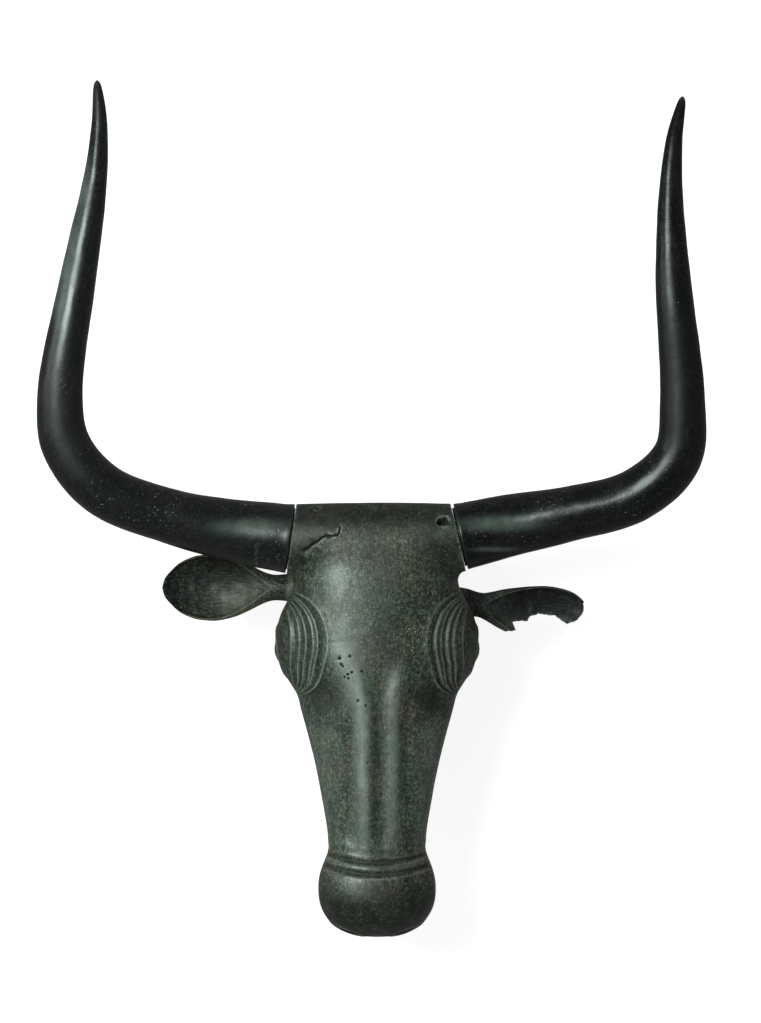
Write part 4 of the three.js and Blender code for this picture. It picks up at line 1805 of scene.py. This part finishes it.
@dataclass(frozen=True, kw_only=True)
class Ear(BronzePiece):
    """An ear: a dished leaf with a rolled rim and combed hair, on a short stalk."""

    side: Side
    place: EarPlace
    head: Head
    swell: Swell
    torn: tuple[Pair, ...] = ()
    back: Profile = Profile(((0, -12), (0.12, -9), (0.24, -7), (0.55, -16), (0.85, -11.5), (1, 0)))
    stalk: Profile = Profile(((0, 12), (0.12, 9.5), (0.2, 6.5), (0.3, 4.5), (0.45, 1.5), (0.6, 0)))
    bowl: Profile = Profile(((0.17, 0), (0.24, 4), (0.35, 9.5), (0.55, 13.5), (0.85, 9.5), (1, 0)))
    bowl_reach: Profile = Profile((
        (0.17, 0.1), (0.24, 0.5), (0.32, 0.72), (0.43, 0.87), (0.6, 0.94), (1, 0.96),
    ))
    bowl_squareness: float = 2.6
    rim: float = 2.3
    roll_height: float = 0.9
    roll_width: float = 0.05
    roll_start: Pair = (0.17, 0.26)
    roll_end: Pair = (0.01, 0.1)
    tip_crowding: float = 0.8
    root_reach: Pair = (-22, 30)
    root_rounds: int = 16
    rings: int = 190
    sides: int = 200
    relief_edge: Pair = (0.0, 0.15)
    back_relief: float = -0.5
    hair_height: float = 0.3
    hair_wander: tuple[Ripple, Ripple] = (Ripple(0.5, 9, 5), Ripple(0.35, 23, -11))
    hair_lines: tuple[Ripple, Ripple] = (Ripple(0.6, 0, 70), Ripple(0.4, 0, 117))
    hair_shifts: Pair = (3.4, -4.1)
    hair_ground: float = 0.55
    hair_patches: Ripple = Ripple(0.45, 13, 4)
    patch_wander: Ripple = Ripple(1.5, 0, 9)
    hair_edge: Pair = (0.02, 0.16)
    hair_start: Pair = (0.1, 0.24)
    hair_end: Pair = (0.8, 0.99)
    fur_height: float = 0.45
    fur_slant: Pair = (46, 14)
    fur_tufts: Ripple = Ripple(1, 95, -21)
    fur_wander: Pair = (1.4, 0.7)
    fur_edge: Pair = (0.0, 0.2)
    fur_end: Pair = (0.16, 0.34)
    upper_reach: float = 34
    upper_bowl: Zone = Zone(0.6, 0.3, 0.3, 0.6, 0.8)
    combed: Zone = Zone(0.42, -0.5, 0.18, 0.42, 0.7)
    stalk_end: Zone = Zone(0.25, 0, 0.12, math.inf, 0.35)
    tear_seed: int = 7
    tear_step: float = 2.2
    tear_roughness: float = 0.35
    tear_half_depth: float = 60
    crisp_angle: float = 50

    def shape(self) -> BMesh:
        """Lay the leaf's sections, fit the root to the head and tear off what is lost.

        Returns:
            The ear's mesh.
        """
        angles = np.linspace(0, 2 * math.pi, self.sides, endpoint=False)
        roots = close_in(
            lambda out: self.head.surface(self._section(out, angles)) > CLEARANCE,
            *(np.full(self.sides, float(limit)) for limit in self.root_reach), self.root_rounds,
        )
        steps = np.sin(math.pi / 2 * np.linspace(0, 1, self.rings)) ** self.tip_crowding
        skin = [self._section(roots + (self.place.length - roots) * step, angles) for step in steps]
        points = np.vstack((*skin, skin[0].mean(axis=0), skin[-1].mean(axis=0)))
        bm = ringed_skin(points, self.rings, self.sides)
        bmesh.ops.recalc_face_normals(bm, faces=bm.faces)
        return self._tear(bm) if self.torn else bm

    def _section(self, distances: Array, angles: Array) -> Array:
        """Place points of the leaf at given distances from the head.

        Args:
            distances: how far out along the ear each point is.
            angles: where each point is round the section.

        Returns:
            The points.
        """
        side = self.side.value
        tilt = math.radians(self.place.tilt)
        outward = np.array((side * math.cos(tilt), math.sin(tilt), 0.0))
        upward = np.array((-side * math.sin(tilt), math.cos(tilt), 0.0))
        share = distances / self.place.length
        across = np.cos(angles)
        upper = np.sin(angles) > 0
        reach = self.bowl_reach(share)
        hollow = self.bowl(share) * np.maximum(1 - (np.abs(across) / reach) ** self.bowl_squareness, 0)
        roll = self.roll_height * bump(np.abs(across) - reach, self.roll_width)
        roll = roll * rise(share, *self.roll_start) * rise(1 - share, *self.roll_end)
        front = self.stalk(share) * np.sin(angles) ** 2 - hollow + roll
        back = self.back(share) * np.sin(angles) ** 2
        depth = np.where(upper, front, back) + self.rim * np.sin(angles)
        spot = np.array((self.place.x, self.place.y, self.place.z))
        width = self.place.half_width(share)
        points = spot + distances[:, None] * outward - (side * width * across)[:, None] * upward
        relief = self._hair(share, across) + self._fur(share, across)
        relief = relief + self.swell.heights(points) * rise(1 - np.abs(across), *self.relief_edge)
        points[:, 2] += depth + relief * np.where(upper, 1.0, self.back_relief)
        return points

    def _hair(self, share: Array, across: Array) -> Array:
        """Comb fine hair lines along the bowl, fanning out from the stalk.

        Args:
            share: how far along the ear.
            across: from one rim, -1, to the other, 1.

        Returns:
            Heights.
        """
        wander = sum(ripple.read(share, across) for ripple in self.hair_wander)
        lines = sum(
            ripple.read(share, across, wander * shift)
            for ripple, shift in zip(self.hair_lines, self.hair_shifts)
        )
        inside = rise(1 - np.abs(across), *self.hair_edge) * along(share, self.hair_start, self.hair_end)
        bent = self.patch_wander.read(share, across)
        patchy = self.hair_ground + self.hair_patches.read(share, across, bent)
        return self.hair_height * lines * inside * patchy

    def _fur(self, share: Array, across: Array) -> Array:
        """Chase short tufts of fur on the stalk.

        Args:
            share: how far along the ear.
            across: from one rim, -1, to the other, 1.

        Returns:
            Heights.
        """
        slant = share * self.fur_slant[0] + across * self.fur_slant[1]
        wander = self.fur_wander[0] * np.sin(slant * self.fur_wander[1])
        tufts = np.sin(slant) * self.fur_tufts.read(share, across, wander)
        fur = self.fur_height * tufts * (1 - rise(share, *self.fur_end))
        return fur * rise(1 - np.abs(across), *self.fur_edge)

    def readings(self, points: Array) -> dict[Wear, Array]:
        """Mark the darker upper bowl and the paler, combed lower part near the stalk.

        Args:
            points: the mesh's points in millimetres.

        Returns:
            The shade and pale masks.
        """
        tilt = math.radians(self.place.tilt)
        x = (points[:, 0] - self.place.x) * self.side.value
        y = points[:, 1] - self.place.y
        out = (x * math.cos(tilt) + y * math.sin(tilt)) / self.place.length
        up = (y * math.cos(tilt) - x * math.sin(tilt)) / self.upper_reach
        pale = np.maximum(self.combed.mask(out, up), self.stalk_end.mask(out, up))
        return {Wear.PAINTED_SHADE_AND_DARK_TONE: self.upper_bowl.mask(out, up), Wear.PAINTED_HIGHLIGHT_AND_PALE_TONE: pale}

    def _lost_part(self) -> BMesh:
        """Make a block with the ragged outline of the part that is lost.

        Returns:
            The block's mesh.
        """
        rng = np.random.default_rng(self.tear_seed)
        outline = []
        for (x0, y0), (x1, y1) in zip(self.torn, self.torn[1:]):
            pieces = max(1, round(math.hypot(x1 - x0, y1 - y0) / self.tear_step))
            for step in range(pieces):
                share = step / pieces
                jitter = rng.normal(0, self.tear_roughness, 2) if step else (0, 0)
                outline.append((x0 + (x1 - x0) * share + jitter[0], y0 + (y1 - y0) * share + jitter[1]))
        outline.append(self.torn[-1])
        bm = bmesh.new()
        low, high = (
            [bm.verts.new((x, y, self.place.z + level)) for x, y in outline]
            for level in (-self.tear_half_depth, self.tear_half_depth)
        )
        bm.faces.new(low)
        bm.faces.new(high[::-1])
        for i, j in enumerate([*range(1, len(outline)), 0]):
            bm.faces.new((low[i], high[i], high[j], low[j]))
        bmesh.ops.recalc_face_normals(bm, faces=bm.faces)
        return bm

    def _tear(self, bm: BMesh) -> BMesh:
        """Take away the lost part along its ragged outline.

        Args:
            bm: the whole ear.

        Returns:
            The mesh that is left.
        """
        whole = add_object("whole_ear", finished_mesh(bm, "whole_ear"))
        tool = add_object("lost_part", finished_mesh(self._lost_part(), "lost_part"))
        modifier = whole.modifiers.new("tear", "BOOLEAN")
        modifier.operation = "DIFFERENCE"
        modifier.solver = "EXACT"
        modifier.object = tool
        bpy.context.view_layer.update()
        cut = whole.evaluated_get(bpy.context.evaluated_depsgraph_get())
        left = bmesh.new()
        left.from_mesh(cut.to_mesh())
        for item in (whole, tool):
            bpy.data.objects.remove(item)
        for edge in left.edges:
            if len(edge.link_faces) == 2 and edge.calc_face_angle() > math.radians(self.crisp_angle):
                edge.smooth = False
        return left


@dataclass(frozen=True)
class SoftBox:
    """A soft studio light, in metres and watts."""

    name: str
    place: Triple
    size: Pair
    power: float
    colour: Triple = (0.91, 0.97, 0.98)

    def build(self, aim: Vector) -> None:
        """Hang the light and turn it to the object.

        Args:
            aim: the point it faces.
        """
        lamp = bpy.data.lights.new(self.name, "AREA")
        lamp.shape = "RECTANGLE"
        lamp.size, lamp.size_y = self.size
        lamp.energy = self.power
        lamp.color = self.colour
        holder = add_object(self.name, lamp)
        holder.location = self.place
        holder.rotation_euler = (aim - Vector(self.place)).to_track_quat("-Z", "Y").to_euler()
        holder.visible_camera = False


@dataclass(frozen=True)
class Studio:
    """The pale floor, the soft lights and the camera, in metres."""

    aim: Triple = (0.0, 0.1, 0.12)
    camera_height: float = 12.0
    camera_reach: float = 200
    frame_centre: Pair = (0.0037, 0.1118)
    focus_height: float = 0.165
    floor_half: float = 40.0
    floor_parts: int = 8
    floor_colour: Triple = (0.35, 0.35, 0.35)
    floor_roughness: float = 0.9
    floor_glow: float = 0.88
    world_strength: float = 0.2
    lights: tuple[SoftBox, ...] = (
        SoftBox("key", (-2.15, 1.1, 4.0), (1.8, 2.1), 235),
        SoftBox("side", (-3.4, 0.6, 1.3), (0.8, 1.8), 20),
        SoftBox("below", (0.6, -3.8, 2.8), (2.4, 1.4), 1.5, (1.0, 1.0, 1.0)),
    )

    def build(self) -> None:
        """Set up everything round the object."""
        for light in self.lights:
            light.build(Vector(self.aim))
        world = bpy.data.worlds.new("studio")
        bpy.context.scene.world = world
        world.use_nodes = True
        background = world.node_tree.nodes["Background"]
        background.inputs["Color"].default_value = (1, 1, 1, 1)
        background.inputs["Strength"].default_value = self.world_strength
        bpy.context.scene.view_settings.view_transform = "Standard"
        self._floor()
        self._camera()

    def _floor(self) -> None:
        """Lay the plain pale floor, which glows a little like a light table."""
        bm = bmesh.new()
        parts = self.floor_parts
        bmesh.ops.create_grid(bm, x_segments=parts, y_segments=parts, size=self.floor_half)
        mesh = finished_mesh(bm, "studio_floor")
        floor = add_object("studio_floor", mesh)
        floor.visible_glossy = False
        material = bpy.data.materials.new("floor_paint")
        material.use_nodes = True
        shader = material.node_tree.nodes["Principled BSDF"]
        shader.inputs["Base Color"].default_value = (*self.floor_colour, 1)
        shader.inputs["Roughness"].default_value = self.floor_roughness
        shader.inputs["Emission Color"].default_value = (1, 1, 1, 1)
        shader.inputs["Emission Strength"].default_value = self.floor_glow
        mesh.materials.append(material)

    def _camera(self) -> None:
        """Hang the camera straight above, so that the frame is the photograph's."""
        camera = bpy.data.cameras.new("camera")
        span = IMAGE_HEIGHT * MM_PER_PIXEL * MM
        camera.lens = (self.camera_height - self.focus_height) * camera.sensor_width / span
        camera.clip_end = self.camera_reach
        holder = add_object("camera", camera)
        holder.location = (*self.frame_centre, self.camera_height)
        bpy.context.scene.camera = holder


HEAD = Head(name="bull_head", node="head", finish=HEAD_FINISH)
LEFT_HORN = Horn(
    name="left_bull_horn", node="left_horn", finish=HORN_FINISH, seam=LEFT_SEAM,
    path=(
        (-216, 106.5, 158), (-288, 134.7, 170), (-326.5, 183, 182), (-332, 238, 190),
        (-315, 344, 196), (-294.6, 465, 190), (-291, 520, 184), (-293.7, 564.5, 176),
    ),
    crusts=(
        Zone(-228, 116, 24, 24, 0.75), Zone(-285, 128, 14, 14, 0.75), Zone(-106, 72, 15, 15, 0.75),
        Zone(-330, 250, 14, 14, 0.75),
    ),
    cracks=((-125, 52, 80),),
    # Painted highlights along the base and the upright of the horn.
    painted_highlights=(
        Zone(-131, 95, 42, 9, 1, 3), Zone(-329, 335, 9, 38, 1, 3), Zone(-320, 392, 9, 42, 1, 3),
        Zone(-308, 452, 8, 42, 1, 3),
    ),
    # A dull zone over the bend, darkened as painted shade.
    dulls=(Zone(-318, 215, 34, 75, 0.4, 3),),
    swells=(Swell(60, 0.2, 19), Swell(17, 0.07, 22)),
)
RIGHT_HORN = Horn(
    name="right_bull_horn", node="right_horn", finish=SHADED_HORN_FINISH, seam=RIGHT_SEAM,
    path=(
        (195, 108, 158), (271.5, 129, 170), (315, 169.5, 182), (320.2, 230, 190),
        (311, 344, 196), (307.9, 435, 190), (311.6, 500, 184), (320.9, 547.5, 176),
    ),
    crusts=(
        Zone(104, 96, 15, 15, 0.75), Zone(150, 92, 16, 16, 0.75), Zone(262, 118, 16, 16, 0.75),
        Zone(312, 330, 14, 14, 0.75),
    ),
    cracks=((98.5, 90, 96),),
    # Painted highlights along the base of the horn.
    painted_highlights=(Zone(128, 99, 42, 8, 1, 3), Zone(124, 72, 24, 2.2, 1, 3)),
    # A dull zone over the bend, darkened as painted shade.
    dulls=(Zone(318, 260, 30, 90, 0.4, 3),),
    swells=(Swell(60, 0.2, 21), Swell(17, 0.07, 24)),
)
LEFT_EAR = Ear(
    name="left_bull_ear", node="left_ear", finish=EAR_FINISH, side=Side.LEFT, head=HEAD,
    swell=Swell(13, 0.3, 30),
    place=EarPlace(x=-90, y=31.6, z=108, tilt=0, length=136.5, half_width=Profile((
        (0, 15), (0.13, 13.6), (0.21, 16.4), (0.32, 23.8), (0.43, 30.4), (0.57, 34.9),
        (0.68, 34.6), (0.76, 32.6), (0.87, 25.6), (0.955, 14.5), (0.985, 8.6), (1, 1.5),
    ))),
)
RIGHT_EAR = Ear(
    name="right_bull_ear", node="right_ear", finish=SHADED_EAR_FINISH, side=Side.RIGHT, head=HEAD,
    swell=Swell(13, 0.3, 32),
    place=EarPlace(x=92, y=16, z=108, tilt=-9.5, length=130, half_width=Profile((
        (0, 15), (0.13, 13), (0.21, 16), (0.3, 20.6), (0.42, 25.2), (0.54, 29),
        (0.65, 31.4), (0.78, 31.2), (0.88, 28.2), (0.96, 21.4), (0.985, 16.5), (1, 8),
    ))),
    torn=(
        (126, -60), (128, -20), (137, -14.5), (146.5, -13.5), (143, -5), (152.5, -3.5), (159, -4),
        (161, 0.5), (170, 4), (181, 2), (188, 2.2), (194.5, -3.5), (200.6, -7.2), (206.5, -5),
        (212.1, -2.1), (216.3, 3.2), (218, 7), (218.2, 11), (217.4, 14.5), (240, 40), (240, -60),
    ),
)


def main() -> None:
    """Build the studio and the bull's head."""
    logging.basicConfig(level=logging.INFO, format="%(name)s: %(message)s")
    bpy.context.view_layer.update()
    Studio().build()
    groups = {
        "patina": patina_group(), "pitting": pitting_group(),
        "wear_and_light": wear_and_light_group(), "cast_skin": cast_skin_group(),
    }
    for piece in (HEAD, LEFT_HORN, RIGHT_HORN, LEFT_EAR, RIGHT_EAR):
        piece.build(groups)


if __name__ == "__main__":
    main()
